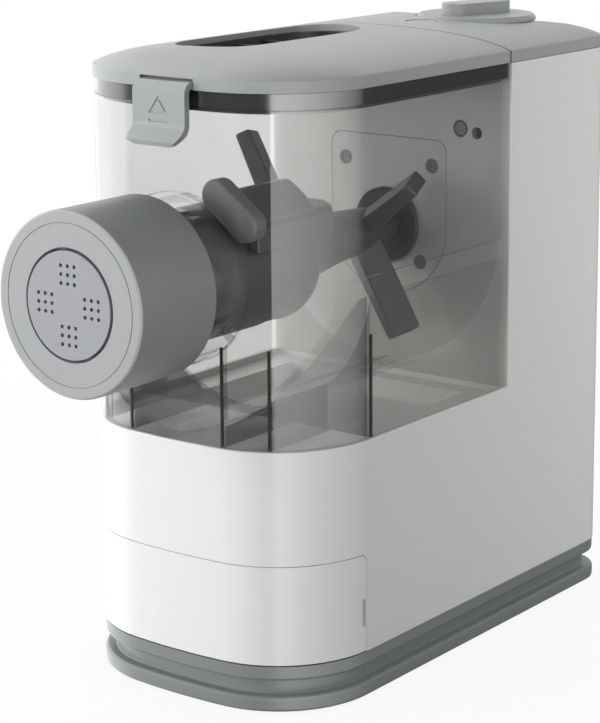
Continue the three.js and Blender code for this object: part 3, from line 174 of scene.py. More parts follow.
def rod_between(name, start, end, radius, sides=32):
    """A plain rod from one place to another, as a start for a cutter or a piece."""
    bpy.ops.object.select_all(action="DESELECT")
    way = Vector(end) - Vector(start)
    bpy.ops.mesh.primitive_cylinder_add(vertices=sides, radius=radius / 1000, depth=way.length)
    piece = bpy.context.object
    piece.name = name
    piece.matrix_world = (Matrix.Translation((Vector(start) + Vector(end)) / 2)
                          @ way.to_track_quat("Z", "Y").to_matrix().to_4x4())
    bpy.ops.object.transform_apply()
    return piece


def upright_rod(name, x, y, low, high, radius, sides=32):
    return rod_between(name, at(x, y, low), at(x, y, high), radius, sides)


def combine(piece, tool, operation="DIFFERENCE"):
    """Cuts the tool out of the piece, or joins it on, and throws the tool away."""
    work_on(piece)
    bpy.ops.object.modifier_add(type="BOOLEAN")
    cut = piece.modifiers[-1]
    cut.object = tool
    cut.operation = operation
    cut.solver = "EXACT"
    bpy.ops.object.modifier_apply(modifier=cut.name)
    bpy.data.objects.remove(tool)
    return piece


def soften(piece, width, steps=2, angle=35):
    """Breaks every sharp edge of a piece by a small round."""
    work_on(piece)
    bpy.ops.object.modifier_add(type="BEVEL")
    round_off = piece.modifiers[-1]
    round_off.width = width / 1000
    round_off.segments = steps
    round_off.limit_method = "ANGLE"
    round_off.angle_limit = math.radians(angle)
    bpy.ops.object.modifier_apply(modifier=round_off.name)


def smooth(piece, angle=32):
    """Smooth shading that keeps creases and lets flat faces stay flat."""
    work_on(piece)
    bpy.ops.object.shade_smooth_by_angle(angle=math.radians(angle))
    bpy.ops.object.modifier_add(type="WEIGHTED_NORMAL")
    piece.modifiers[-1].keep_sharp = True
    bpy.ops.object.modifier_apply(modifier=piece.modifiers[-1].name)


def tint(red, green, blue):
    """A colour as seen on screen, 0 to 255, to the shader's own scale."""
    seen = (red / 255, green / 255, blue / 255)
    return tuple(((share + 0.055) / 1.055) ** 2.4 for share in seen) + (1,)


def moulded(name, colour, roughness, grain, depth, cloud=0.05, gloss_change=0.06):
    """Moulded plastic: a fine grain in its surface, with colour and gloss that vary a little over it."""
    material = bpy.data.materials.new(name)
    material.use_nodes = True
    tree = material.node_tree
    shader = tree.nodes["Principled BSDF"]
    place = tree.nodes.new("ShaderNodeTexCoord")

    def noise(scale, detail):
        pattern = tree.nodes.new("ShaderNodeTexNoise")
        pattern.inputs["Scale"].default_value = scale
        pattern.inputs["Detail"].default_value = detail
        tree.links.new(place.outputs["Object"], pattern.inputs["Vector"])
        return pattern

    clouds = noise(18, 3)
    blend = tree.nodes.new("ShaderNodeMix")
    blend.data_type = "RGBA"
    blend.inputs["A"].default_value = tuple(c * (1 - cloud) for c in colour[:3]) + (1,)
    blend.inputs["B"].default_value = tuple(min(1, c * (1 + cloud)) for c in colour[:3]) + (1,)
    tree.links.new(clouds.outputs["Fac"], blend.inputs["Factor"])
    tree.links.new(blend.outputs["Result"], shader.inputs["Base Color"])
    fine = noise(grain, 2)
    sheen = tree.nodes.new("ShaderNodeMapRange")
    sheen.inputs["To Min"].default_value = roughness - gloss_change / 2
    sheen.inputs["To Max"].default_value = roughness + gloss_change / 2
    tree.links.new(fine.outputs["Fac"], sheen.inputs["Value"])
    tree.links.new(sheen.outputs["Result"], shader.inputs["Roughness"])
    bump = tree.nodes.new("ShaderNodeBump")
    bump.inputs["Strength"].default_value = 1
    bump.inputs["Distance"].default_value = depth / 1000
    tree.links.new(fine.outputs["Fac"], bump.inputs["Height"])
    tree.links.new(bump.outputs["Normal"], shader.inputs["Normal"])
    return material


def finish_piece(piece, material, body, slot, *replaced):
    """Gives a finished piece its material and its body, and hides the nodes that it stands for; the slot is
    not used.
    """
    piece.data.materials.clear()
    piece.data.materials.append(material)
    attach(piece, body)
    if replaced:
        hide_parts(*replaced)


def dress(node, material):
    """A CAD node whose shape is right keeps it and gets its material."""
    for spot in nodes[node].material_slots:
        spot.material = material


base_plastic = moulded("base_plastic", tint(132, 136, 137), 0.34, 2600, 0.012)
base_ring = swing_round_body("base_ring", [
    (1.6, 1.2), (1.0, 1.36), (0.47, 1.67), (0.12, 2.2), (0, 2.8), (0, 6.4), (0.12, 7), (0.47, 7.53),
    (1.0, 7.88), (1.6, 8), (4.6, 8), (5, 8.4), (5, 14.6), (4.7, 15), (2, 15), (1.39, 15.12),
    (0.87, 15.47), (0.52, 16), (0.4, 16.6), (0.4, 21.4), (9, 21.4), (9, 4.4)])
foot_places = [(-45.5, 40), (45.5, 40), (-45.5, 205), (45.5, 205)]
screw_places = [(-53, 153.5), (53, 153.5), (-53, 229), (53, 229)]
pocket_radius, screw_head_radius, screw_radius = 9.3, 3.8, 1.9
for x, y in foot_places:
    combine(base_ring, upright_rod("pocket", x, y, -2, 2.9, pocket_radius))
for x, y in screw_places:
    combine(base_ring, upright_rod("screw_hole", x, y, -2, 3, screw_head_radius))
    combine(base_ring, upright_rod("screw_hole", x, y, -2, 6, screw_radius, 16))
smooth(base_ring)
finish_piece(base_ring, base_plastic, "machine", "base_grey", "base")

rubber = moulded("foot_rubber_black", tint(38, 38, 39), 0.8, 1400, 0.05)
bright_steel = moulded("bright_steel", tint(196, 198, 200), 0.28, 900, 0.01)
bright_steel.node_tree.nodes["Principled BSDF"].inputs["Metallic"].default_value = 1
for i in range(1, 5):
    dress(f"rubber_foot_{i}", rubber)
    dress(f"base_screw_{i}", bright_steel)

# White body with its tower, and the cord's gland
# One glossy white shell, open below, with the deck that carries the clear chamber and the tower behind it.
# It is moulded in one piece, and its seam with the grey base runs all the way round.
deck, tower_front, shell_top, wall = 115.1, 157.5, 263.9, 2.8
# The tube, the paddle and the drive's hole share one level line at this height.
head_height, drive_hole = 184, 17.8


def wide_block(name, front, back, low, high):
    """A block wider than the machine, between two places along it and two heights."""
    return box_between(name, at(-90, front, low), at(90, back, high))


def plan_block(name, inset, low, high, front=-20, back=280):
    """A block with the body's plan, drawn in by an inset, kept between two places along the machine."""
    piece = swing_round_body(name, [(inset, low), (inset, high)])
    return combine(piece, wide_block("part", front, back, low - 1, high + 1), "INTERSECT")


def round_edges(piece, width, steps, test=lambda x, y, z: True):
    """Rounds the edges whose two ends pass a test of x, y and z, or every edge."""
    work_on(piece)
    bpy.ops.object.mode_set(mode="EDIT")
    pick(piece, "EDGE", test)
    bpy.ops.mesh.bevel(offset=width / 1000, segments=steps, affect="EDGES")
    bpy.ops.object.mode_set(mode="OBJECT")


housing = swing_round_body("white_body", [(0, 21.7), (0, shell_top)])
combine(housing, wide_block("cut", -20, tower_front, deck, 300))
round_edges(housing, 0.8, 3, lambda x, y, z: abs(z - deck) < 0.01 and (y < tower_front - 0.1 or abs(x) > 67))
combine(housing, plan_block("cut", wall, 10, 109, back=tower_front))
combine(housing, plan_block("cut", wall, 112, 120, back=tower_front))
combine(housing, plan_block("cut", wall, 10, shell_top - wall, front=161))
combine(housing, plan_block("cut", wall, 250, 270, front=164))
combine(housing, box_between("pan", at(-52.8, 60.7, 100.2), at(52.8, 150.3, 110.6)), "UNION")
well = box_between("well", at(-50, 63.5, 103), at(50, 147.5, 125))
round_edges(well, 3, 4)
combine(housing, well)

drawer_mouth = wide_block("mouth", -60, 47.1, 0, 65.7)
round_edges(drawer_mouth, 4.3, 6, lambda x, y, z: y > 47 and z > 65)
combine(housing, drawer_mouth)


def drawn_out(name, outline, way):
    """A closed outline of places, filled in and extruded by a way in millimetres."""
    piece = draw_line(name, outline)
    bpy.ops.mesh.edge_face_add()
    pull_out(*way)
    tidy_mesh()
    return piece


def outline_block(name, outline, front, back):
    """A block with an outline of (x, z) seen from the front, kept between two places along the machine."""
    return drawn_out(name, [at(x, front, z) for x, z in outline], (0, back - front, 0))


def level_rod(name, x, z, front, back, radius, sides=32):
    return rod_between(name, at(x, front, z), at(x, back, z), radius, sides)


def bend(x, z, radius, start, end, steps):
    """Points along an arc, seen from the front, between two angles in degrees."""
    turns = [math.radians(start + (end - start) * i / steps) for i in range(steps + 1)]
    return [(x + radius * math.cos(turn), z + radius * math.sin(turn)) for turn in turns]


def cover_shape(name, grow, front, back):
    """Front of the drive cover: straight top with rounded corners, half round below."""
    wide, high, corner = 32.5 + grow, 225.5 + grow, 6
    outline = bend(0, head_height, wide, 180, 360, 48)
    outline += bend(wide - corner, high - corner, corner, 0, 90, 8)
    outline += bend(corner - wide, high - corner, corner, 90, 180, 8)
    return outline_block(name, outline, front, back)


combine(housing, cover_shape("cut", 0.3, 150, 159.8))
cover_screws = [(24.5, 213.4), (-24.5, 213.4), (18, 167.5), (-18, 167.5)]
switch_hole, small_hole = (40.2, 232.2, 4), (49.1, 230.7, 2.8)
combine(housing, level_rod("cut", 0, head_height, 150, 170, drive_hole, 64))
for x, z, radius in (switch_hole, small_hole):
    combine(housing, level_rod("cut", x, z, 150, 170, radius))
for x, z in cover_screws:
    combine(housing, level_rod("cut", x, z, 150, 170, 1.8, 16))
vents, vent_pitch, vent_width = 5, 9, 3
for i in range(vents):
    left = vent_pitch * i - 19.5
    vent = box_between("vent", at(left, 240, 65), at(left + vent_width, 255, 103))
    soften(vent, 1.49, 4)
    combine(housing, vent)
combine(housing, level_rod("cut", 40, 40, 240, 255, 7.9, 48))
smooth(housing)
gloss_white = moulded("gloss_white_plastic", tint(232, 232, 230), 0.24, 260, 0.006, 0.012, 0.05)
finish_piece(housing, gloss_white, "machine", "gloss_white", "main_housing")

black_plastic = moulded("black_plastic", tint(40, 41, 42), 0.5, 1800, 0.02)
dress("cord_gland", black_plastic)
dress("drawer_liner", black_plastic)

# Storage drawer
# A white front that wraps round the body's lower corners, with a tray behind it that slides in the liner.
# Its seam is a fine line, and a finger notch is let into each end.
drawer_foot, drawer_top = 22.2, 65.4
drawer = swing_round_body("drawer_front", [(0, drawer_foot), (0, drawer_top), (wall, drawer_top),
                                           (wall, drawer_foot), (0, drawer_foot)])
keep = wide_block("keep", -60, 46.8, 10, drawer_top)
round_edges(keep, 4, 6, lambda x, y, z: y > 46 and z > 65)
combine(drawer, keep, "INTERSECT")
for left in (-69, 66):
    combine(drawer, box_between("notch", at(left, 43.8, 33.3), at(left + 3, 49, 45.5)))
smooth(drawer)
finish_piece(drawer, gloss_white, "drawer_body", "gloss_white", "storage_drawer")
tray = plan_block("drawer_tray", 2.9, 26.2, 60.2, back=144.8)
combine(tray, box_between("sides", at(-52, -20, 20), at(52, 160, 70)), "INTERSECT")
combine(tray, box_between("inside", at(-50, 8, 28.2), at(50, 142.8, 70)))
soften(tray, 0.4, 2, 50)
smooth(tray)
finish_piece(tray, gloss_white, "drawer_body", "gloss_white")

# Clear mixing chamber
# Smoky clear plastic: a wall on the body's outline, a half-round trough on upright ribs and a bulkhead,
# a rear wall with the hole for the drive, and the nozzle with its collar at the front.
def turned(name, profile, sides=96, x=0, z=head_height):
    """Turned from (radius, place) about a level line that runs from front to back."""
    piece = draw_line(name, [at(x + radius, y, z) for radius, y in profile])
    bpy.ops.mesh.spin(steps=sides, angle=2 * math.pi, center=at(x, 0, z), axis=(0, 1, 0))
    tidy_mesh()
    return piece


def clear_plastic(name, colour, haze, shine_share=1):
    """Thin clear plastic: it lets light straight through, tinted, with a little haze and a sharp gloss."""
    material = bpy.data.materials.new(name)
    material.use_nodes = True
    tree = material.node_tree
    tree.nodes.remove(tree.nodes["Principled BSDF"])
    out = tree.nodes["Material Output"]
    glass_index = 1.49
    through = tree.nodes.new("ShaderNodeBsdfTransparent")
    through.inputs["Color"].default_value = colour
    fog = tree.nodes.new("ShaderNodeBsdfDiffuse")
    fog.inputs["Color"].default_value = (0.75, 0.75, 0.74, 1)
    gloss = tree.nodes.new("ShaderNodeBsdfGlossy")
    gloss.inputs["Roughness"].default_value = 0.04
    place = tree.nodes.new("ShaderNodeTexCoord")
    streaks = tree.nodes.new("ShaderNodeTexNoise")
    streaks.inputs["Scale"].default_value = 40
    tree.links.new(place.outputs["Object"], streaks.inputs["Vector"])
    amount = tree.nodes.new("ShaderNodeMapRange")
    amount.inputs["To Min"].default_value = haze * 0.6
    amount.inputs["To Max"].default_value = haze * 1.4
    tree.links.new(streaks.outputs["Fac"], amount.inputs["Value"])
    hazy = tree.nodes.new("ShaderNodeMixShader")
    tree.links.new(amount.outputs["Result"], hazy.inputs["Fac"])
    tree.links.new(through.outputs[0], hazy.inputs[1])
    tree.links.new(fog.outputs[0], hazy.inputs[2])
    side = tree.nodes.new("ShaderNodeNewGeometry")
    index = tree.nodes.new("ShaderNodeMapRange")
    index.inputs["To Min"].default_value = glass_index
    index.inputs["To Max"].default_value = 1 / glass_index
    tree.links.new(side.outputs["Backfacing"], index.inputs["Value"])
    mirror = tree.nodes.new("ShaderNodeFresnel")
    tree.links.new(index.outputs["Result"], mirror.inputs["IOR"])
    share = tree.nodes.new("ShaderNodeMapRange")
    share.inputs["To Max"].default_value = shine_share
    tree.links.new(mirror.outputs[0], share.inputs["Value"])
    shine = tree.nodes.new("ShaderNodeMixShader")
    tree.links.new(share.outputs["Result"], shine.inputs["Fac"])
    tree.links.new(hazy.outputs[0], shine.inputs[1])
    tree.links.new(gloss.outputs[0], shine.inputs[2])
    tree.links.new(shine.outputs[0], out.inputs["Surface"])
    return material


chamber_foot, chamber_top, chamber_back = 115.4, 257, 157.2
chamber = swing_round_body("clear_chamber", [
    (0.6, chamber_foot), (0.6, chamber_top - 0.3), (0.9, chamber_top), (wall - 0.3, chamber_top),
    (wall, chamber_top - 0.3), (wall, chamber_foot), (0.6, chamber_foot)])
combine(chamber, wide_block("ahead", -20, chamber_back, 100, 270), "INTERSECT")
rear_wall = plan_block("rear_wall", 0.6, chamber_foot, chamber_top, front=154.7, back=chamber_back)
combine(chamber, rear_wall, "UNION")
trough_inner, trough_outer, trough_front = 63, 65.2, 1
trough = turned("trough", [
    (trough_outer, trough_front), (trough_outer, chamber_back), (trough_inner, chamber_back),
    (trough_inner, trough_front), (trough_outer, trough_front)], 120)
combine(trough, wide_block("half", -20, 170, 100, head_height), "INTERSECT")
rib_inner, rib_outer, half_rib, bulkhead_front, bulkhead_back = 25, 45, 1.1, 51.03, 53.2
supports = wide_block("bulkhead", bulkhead_front, bulkhead_back, chamber_foot, head_height)
for x in (-rib_outer, -rib_inner, rib_inner, rib_outer):
    rib = box_between("rib", at(x - half_rib, -10, chamber_foot), at(x + half_rib, 52, head_height))
    combine(supports, rib, "UNION")
combine(supports, level_rod("pipe", 0, head_height, -20, 170, 64.1, 120))
combine(supports, trough, "UNION")
combine(supports, swing_round_body("inside", [(0.61, chamber_foot), (0.61, 256)]), "INTERSECT")
combine(supports, wide_block("ahead", -20, 157, 100, 270), "INTERSECT")
combine(chamber, supports, "UNION")
tube_hole, nozzle_front, nozzle_back = 28.9, -50, 8
combine(chamber, level_rod("tube_hole", 0, head_height, -60, 20, tube_hole, 96))
nozzle = turned("nozzle", [
    (tube_hole, nozzle_front), (33, nozzle_front), (33.5, nozzle_front + 0.5), (33.5, -14), (36, -14),
    (36.5, -13.5), (36.5, nozzle_back), (tube_hole, nozzle_back), (tube_hole, nozzle_front)])
combine(chamber, nozzle, "UNION")
combine(chamber, level_rod("drive_hole", 0, head_height, 150, 160, drive_hole, 64))
smooth(chamber, 25)
smoke = (0.94, 0.94, 0.937, 1)
smoky = clear_plastic("smoky_clear_plastic", smoke, 0.015)
finish_piece(chamber, smoky, "machine", "smoky_clear", "mixing_chamber")
# The bulkhead and the ribs below the tube get a much darker clear tint: painted shade for the dark inside of
# the chamber seen past them.
chamber.data.materials.append(clear_plastic("shade_tinted_clear_plastic", (0.6, 0.6, 0.595, 1), 0.02))
chamber.data.materials.append(clear_plastic("trough_clear_plastic", smoke, 0.015, 0.2))
plain, shade_tinted, in_trough = 0, 1, 2
for face in chamber.data.polygons:
    x, y, z = millimetres(face.center)
    reach = math.hypot(x, z - head_height)
    kind = plain
    if z < head_height and y > trough_front and trough_inner - 2 < reach < trough_outer + 0.1:
        kind = in_trough
    on_rib = min(abs(abs(x) - rib_inner), abs(abs(x) - rib_outer)) < 1.2 or 64.9 < reach < 65.5
    # Faces of the bulkhead and the ribs take the darker tint: painted shade.
    if z < 180 and (50.5 < y < 53.5 or on_rib and y < 52):
        kind = shade_tinted
    face.material_index = kind

# Thin near-black bars at the upright edges of the chamber's inner walls: painted shade for the dark look of
# clear plastic edges seen end on.
posts = box_between("chamber_posts", at(65.4, 51.6, 115.6), at(66.4, 52.6, 160))
for x, y in ((-rib_outer, 9.6), (-rib_inner, 3.2), (rib_inner, 3.2), (rib_outer, 9.6)):
    combine(posts, box_between("post", at(x - 0.5, y - 0.5, 115.6), at(x + 0.5, y + 0.5, 158)), "UNION")
smooth(posts)
# Near-black and opaque: painted shade where the clear walls' edges look dark.
edge_shade_paint = moulded("dark_edge_painted_shade", tint(30, 30, 30), 0.4, 900, 0.02)
finish_piece(posts, edge_shade_paint, "machine", "smoky_clear")

# Front of the tower inside the chamber
# A flush cover plate, round below, holds the output bearing and has four sunk screws.
# Beside it the lid switch's tip shows in a round hole; a rubber seal closes the shaft's hole.
plate = cover_shape("drive_cover_plate", 0, tower_front, tower_front + 2)
soften(plate, 0.3, 2, 50)
combine(plate, level_rod("bore", 0, head_height, 150, 170, 17.5, 64))
for x, z in cover_screws:
    sink = turned("sink", [(0, 150), (3.7, 150), (3.7, 157.8), (1.8, 159.7), (1.8, 165), (0, 165)], 48, x, z)
    combine(plate, sink)
smooth(plate)
finish_piece(plate, gloss_white, "machine", "gloss_white", "drive_cover")
screw_steel = moulded("dull_steel", tint(150, 151, 152), 0.5, 900, 0.01)
for i, (x, z) in enumerate(cover_screws, 1):
    screw = turned(f"cover_screw_{i}", [
        (0, 159), (0.9, 159), (0.9, 158.3), (1.5, 158.3), (1.5, 158.9), (2.7, 158.9), (2.7, 157.9),
        (3, 157.65), (3.3, 157.75), (3.4, 158), (3.2, 158.4), (1.5, 159.6), (1.5, 164.6), (0, 164.6)],
        40, x, z)
    smooth(screw)
    finish_piece(screw, screw_steel, "machine", "steel", f"drive_cover_screw_{i}")

seal_rubber = moulded("dark_rubber", tint(44, 46, 46), 0.5, 1500, 0.02)
shaft_ring = turned("shaft_seal_ring", [
    (7.9, 154.4), (12.2, 154.4), (12.75, 154.6), (12.75, 155), (17.2, 155), (17.5, 155.3), (17.5, 157.2),
    (12.75, 157.2), (12.75, 156.6), (7.9, 156.6), (7.9, 154.4)], 96)
smooth(shaft_ring)
finish_piece(shaft_ring, seal_rubber, "machine", "dark_seal", "shaft_seal")
dress("lid_switch", moulded("switch_grey", tint(150, 151, 150), 0.5, 1200, 0.01))

# Drive train in the tower
# Gears and motor are hidden by the housing: white acetal gears, steel shafts, bronze bearings and a
# black case, each left as the CAD has it, with a finish of its own.
acetal = moulded("acetal_gear", tint(228, 224, 210), 0.42, 900, 0.02)
sintered = moulded("sintered_bronze", tint(150, 110, 62), 0.45, 3000, 0.03, 0.12)
sintered.node_tree.nodes["Principled BSDF"].inputs["Metallic"].default_value = 1
circuit = moulded("green_board", tint(40, 100, 66), 0.4, 500, 0.02, 0.1)
for name in ("output_gear", "idler_gear"):
    dress(name, acetal)
for name in ("output_bearing_front", "output_bearing_rear", "idler_bearing_front", "idler_bearing_rear",
             "motor_stator"):
    dress(name, sintered)
for name in ("output_shaft", "idler_pinion", "motor_pinion", "motor_frame", "motor_rotor",
             "motor_end_plate", "latch_pin"):
    dress(name, bright_steel)
for name in ("gear_plate", "gear_case", "motor_fan", "selector_switch", "start_switch"):
    dress(name, black_plastic)
dress("control_board", circuit)

# Extruding tube with its screw
# A grey tube with a flange at the front and a rounded end, open below where the dough falls in.
tube_plastic = moulded("tube_plastic", tint(84, 86, 86), 0.36, 400, 0.002)
tube = turned("extruding_tube_body", [
    (24.8, -53.3), (30.8, -53.3), (31.2, -52.9), (31.2, -50.3), (28.6, -50.3), (28.6, 63.9), (28.4, 66),
    (27.7, 68), (26.4, 69.6), (24.4, 70.6), (21.6, 70.9), (8.1, 70.9), (8.1, 67.7), (24.8, 67.7),
    (24.8, -53.3)])
feed = box_between("feed", at(-15, 43.9, 150), at(15, 63.9, 172))
round_edges(feed, 2, 3)
combine(tube, feed)
smooth(tube)
finish_piece(tube, tube_plastic, "machine", "tube_grey", "extruding_tube")
paddle_plastic = moulded("paddle_plastic", tint(80, 83, 83), 0.38, 400, 0.002)
dress("extrusion_screw", paddle_plastic)

# Kneading paddle
# Moulded grey plastic: a tapered hub with three flat blades, and a long arm whose pad scrapes round.
# A square tang joins it to the screw in front and to the drive's cup behind.
hub = turned("kneading_paddle_body", [
    (0, 67.5), (7.6, 67.5), (7.6, 71.9), (15.8, 71.9), (17, 73), (17, 78.9), (16.5, 82), (12.6, 108),
    (12, 112), (9.6, 146), (9.2, 146.6), (7.6, 146.9), (7.6, 157.6), (0, 157.6)], 64)


blade_half_width, blade_half_depth, blade_twist, tip_share = 7.5, 4.5, 24, 0.78


def paddle_blade(name, y, angle, reach):
    """A flat blade with a blunt end, twisted about its own length and turned to its angle."""
    blade = box_between(name, at(2, -blade_half_width, -blade_half_depth),
                        at(reach, blade_half_width, blade_half_depth))
    bpy.ops.object.mode_set(mode="EDIT")
    pick(blade, "VERT", lambda x, y, z: x > reach - 1)
    bpy.ops.transform.resize(value=(1, 1, tip_share), center_override=at(reach, 0, 0))
    bpy.ops.object.mode_set(mode="OBJECT")
    round_edges(blade, 1.1, 3)
    twist = Matrix.Rotation(math.radians(blade_twist), 4, "X")
    swing = Matrix.Rotation(math.radians(-angle), 4, "Y")
    home = Matrix.Translation(at(0, 0, 0))
    blade.matrix_world = Matrix.Translation(at(0, y, head_height)) @ swing @ twist @ home.inverted()
    work_on(blade)
    bpy.ops.object.transform_apply()
    return blade


for number, (y, angle, reach) in enumerate([(85, 118, 56), (133, 38, 42), (133, -59, 52)], 1):
    combine(hub, paddle_blade(f"blade_{number}", y, angle, reach), "UNION")


def round_along(piece, axis, width, steps=8, highest=1000):
    """Rounds the edges that run along one axis (0, 1 or 2), as far as they start below a height."""
    work_on(piece)
    bpy.ops.object.mode_set(mode="EDIT")
    bpy.ops.mesh.select_mode(type="EDGE")
    bpy.ops.mesh.select_all(action="DESELECT")
    mesh = bmesh.from_edit_mesh(piece.data)
    for edge in mesh.edges:
        start, end = [v.co for v in edge.verts]
        along = abs(start[axis] - end[axis]) > 0.9 * edge.calc_length()
        edge.select_set(along and start.z < highest / 1000)
    bmesh.update_edit_mesh(piece.data)
    bpy.ops.mesh.bevel(offset=width / 1000, segments=steps, affect="EDGES")
    bpy.ops.object.mode_set(mode="OBJECT")


def turn_about(piece, place, axis, degrees):
    """Turns a piece about a line through a place and along an axis."""
    work_on(piece)
    centre = Matrix.Translation(place)
    piece.matrix_world = centre @ Matrix.Rotation(math.radians(degrees), 4, axis) @ centre.inverted()
    bpy.ops.object.transform_apply()


# The arm is drawn about the shaft's line at the table's height, and lifted to the shaft at the end.
hood = outline_block("hood", [(10.6, 29.2), (17.9, 23.8), (32.2, 23.6)] + bend(0, 0, 41, 37, 60, 8)
                     + [(18.6, 36.6), (14.3, 36.2)], 16, 58)
soften(hood, 1, 3, 40)
beam = outline_block("beam", [(27.9, 11), (31.2, 11), (31.2, 20.8), (28.5, 24), (22.4, 24.1), (22.4, 21.2)],
                     20.9, 72.9)
soften(beam, 1, 3, 30)
combine(hood, beam, "UNION")
root_plan = [(5, 71.9), (31.2, 71.9), (24, 80.9), (15.6, 86.9), (5, 86.9)]
root = drawn_out("root", [at(x, y, 11.3) for x, y in root_plan], (0, 0, 11.8))
soften(root, 1, 3, 30)
combine(hood, root, "UNION")
pad_inner, pad_back = 29.8, 20.5
pad = box_between("pad", at(pad_inner, 12, -16.3), at(43.8, pad_back, 16.3))
round_along(pad, 1, 6.95, 12)
soften(pad, 2.4, 5, 50)
turn_about(pad, at(0, 0, 0), "Y", -53)
combine(hood, pad, "UNION")
hood.location.z = head_height / 1000
work_on(hood)
bpy.ops.object.transform_apply()
combine(hub, hood, "UNION")
half_tang = 5.2
for front, back in ((55.3, 70), (152, 163.5)):
    combine(hub, box_between("tang", at(-half_tang, front, head_height - half_tang),
                             at(half_tang, back, head_height + half_tang)), "UNION")
smooth(hub, 30)
finish_piece(hub, paddle_plastic, "drive_body", "paddle_grey", "kneading_paddle")
# The pad's outer faces get a lighter grey than the rest of the paddle: painted light where the pad faces the
# lamps at the left and front.
hub.data.materials.append(moulded("pad_painted_light", tint(124, 127, 129), 0.42, 400, 0.002))
for face in hub.data.polygons:
    x, y, z = millimetres(face.center)
    face.material_index = int(y < pad_back + 0.1 and math.hypot(x, z - head_height) > pad_inner + 0.3)

# Shaping disc and locking cap
# A pale acetal disc with four groups of nine holes, held by a grey ring cap that turns to lock.
# The cap's face is smooth, with one fine groove, and its side has the mottle of filled plastic.
cap_side = moulded("cap_plastic", tint(130, 133, 135), 0.42, 1100, 0.14, 0.10, 0.12)
cap = turned("locking_cap_ring", [
    (22.8, -57.1), (23.1, -60.1), (23.4, -60.5), (33.1, -60.5), (33.2, -60.2), (33.4, -60.2), (33.5, -60.5),
    (37.1, -60.5), (37.7, -60.34), (38.14, -59.9), (38.3, -59.3), (38.3, -15.5), (37.9, -15), (34, -15),
    (34, -17.8), (35.5, -20.6), (35.5, -57.1), (22.8, -57.1)], 128)
smooth(cap)
finish_piece(cap, cap_side, "cap_body", "cap_grey", "locking_cap")
# The front face is picked by which way it points and gets a lighter grey than the side: partly the face's own
# smoother tone, partly painted light from the front.
cap.data.materials.append(moulded("cap_face_tone_and_light", tint(166, 168, 170), 0.4, 1400, 0.01))
for face in cap.data.polygons:
    face.material_index = int(face.normal.y < -0.7 and millimetres(face.center)[1] < -60)
disc_plastic = moulded("disc_plastic", tint(160, 162, 166), 0.36, 1400, 0.01)
disc = turned("shaping_disc_plate", [
    (0, -60.9), (21.7, -60.9), (22.1, -60.8), (22.2, -60.5), (22.2, -56), (28, -56), (28, -53.6), (0, -53.6)])
group_reach, hole_pitch, hole_radius = 12.4, 3.6, 0.85
for dx, dz in ((0, 1), (0, -1), (1, 0), (-1, 0)):
    for i in (-1, 0, 1):
        for k in (-1, 0, 1):
            x, z = dx * group_reach + i * hole_pitch, head_height + dz * group_reach + k * hole_pitch
            combine(disc, level_rod("hole", x, z, -70, -50, hole_radius, 16))
smooth(disc)
finish_piece(disc, disc_plastic, "machine", "disc_grey", "shaping_disc")

# Lid with its seal and inlet grille
# A satin grey lid with a rim and a low crown, cut off behind along an arc where the fixed cover starts.
# A long slot takes flour and water; the dark seal is fixed under its edge, and the grille sits in the slot.
lid_foot = 264.2
crown_rim = [(0, 264.5), (0, 269), (0.1, 269.25), (0.35, 269.45), (0.9, 269.7), (2.2, 270.25), (4.5, 271.15),
             (7, 271.95), (9.5, 272.65), (12.5, 273.4), (16.5, 274.3)]
crown_middle = [(23.5, 275.5), (31.5, 276.4), (38, 276.95), (46.5, 277.5), (55, 277.85), (62, 278)]


def crowned_block(name, inset, foot, drop):
    """The solid under the crowned top: upright sides, then a crown closed over the middle."""
    low = [(i, z - drop) for i, z in crown_rim if i >= inset]
    piece = swing_round_body(name, [(low[0][0], foot)] + low)
    bpy.ops.object.mode_set(mode="EDIT")
    high = max(v.co.z for v in piece.data.vertices) * 1000
    before = low[-1]
    pick(piece, "FACE", lambda x, y, z: z > high - 0.01)
    half_length = body_length / 2
    for i, z in crown_middle:
        pull_out(0, 0, z - drop - before[1])
        size = ((half_width - i) / (half_width - before[0]), (half_length - i) / (half_length - before[0]), 1)
        bpy.ops.transform.resize(value=size, center_override=at(0, half_length, 0))
        before = (i, z - drop)
    tidy_mesh()
    return piece


seam_centre, lid_seam, cover_seam = 437.27, 289.5, 288.1


def behind_seam(radius):
    """A tall drum behind the seam between lid and fixed cover, which bows forward."""
    return upright_rod("seam", 0, seam_centre, 200, 300, radius, 720)


lid = crowned_block("lid_body", 0, lid_foot, 0)
combine(lid, behind_seam(lid_seam))
hollow = crowned_block("hollow", 9, 250, 3.2)
combine(hollow, behind_seam(lid_seam + wall))
combine(lid, hollow)


def smooth_loop(points, steps=6):
    """A closed curve through the points."""
    loop = []
    count = len(points)
    for i in range(count):
        a, b, c, d = [Vector(points[(i + k - 1) % count]) for k in range(4)]
        for s in range(steps):
            t = s / steps
            loop.append(0.5 * ((2 * b) + (c - a) * t + (2 * a - 5 * b + 4 * c - d) * t ** 2
                               + (3 * b - a - 3 * c + d) * t ** 3))
    return loop


slot_shares = [(-0.2, -1), (0.34, -0.97), (0.75, -0.88), (0.96, -0.7), (1, -0.4), (1, 0.2), (0.95, 0.56),
               (0.75, 0.78), (0.4, 0.91), (-0.16, 0.99), (-0.75, 0.93), (-1, 0.6), (-1, -0.3), (-0.9, -0.75),
               (-0.64, -0.95)]
slot_x, slot_y, slot_half_width, slot_half_length = -14.4, 90.7, 23.6, 52


def slot_block(name, shrink, low, high):
    """A block with the pouring slot's outline, drawn in by an inset."""
    loop = smooth_loop([(x * (slot_half_width - shrink) + slot_x, y * (slot_half_length - shrink) + slot_y)
                        for x, y in slot_shares])
    return drawn_out(name, [at(x, y, low) for x, y in loop], (0, 0, high - low))


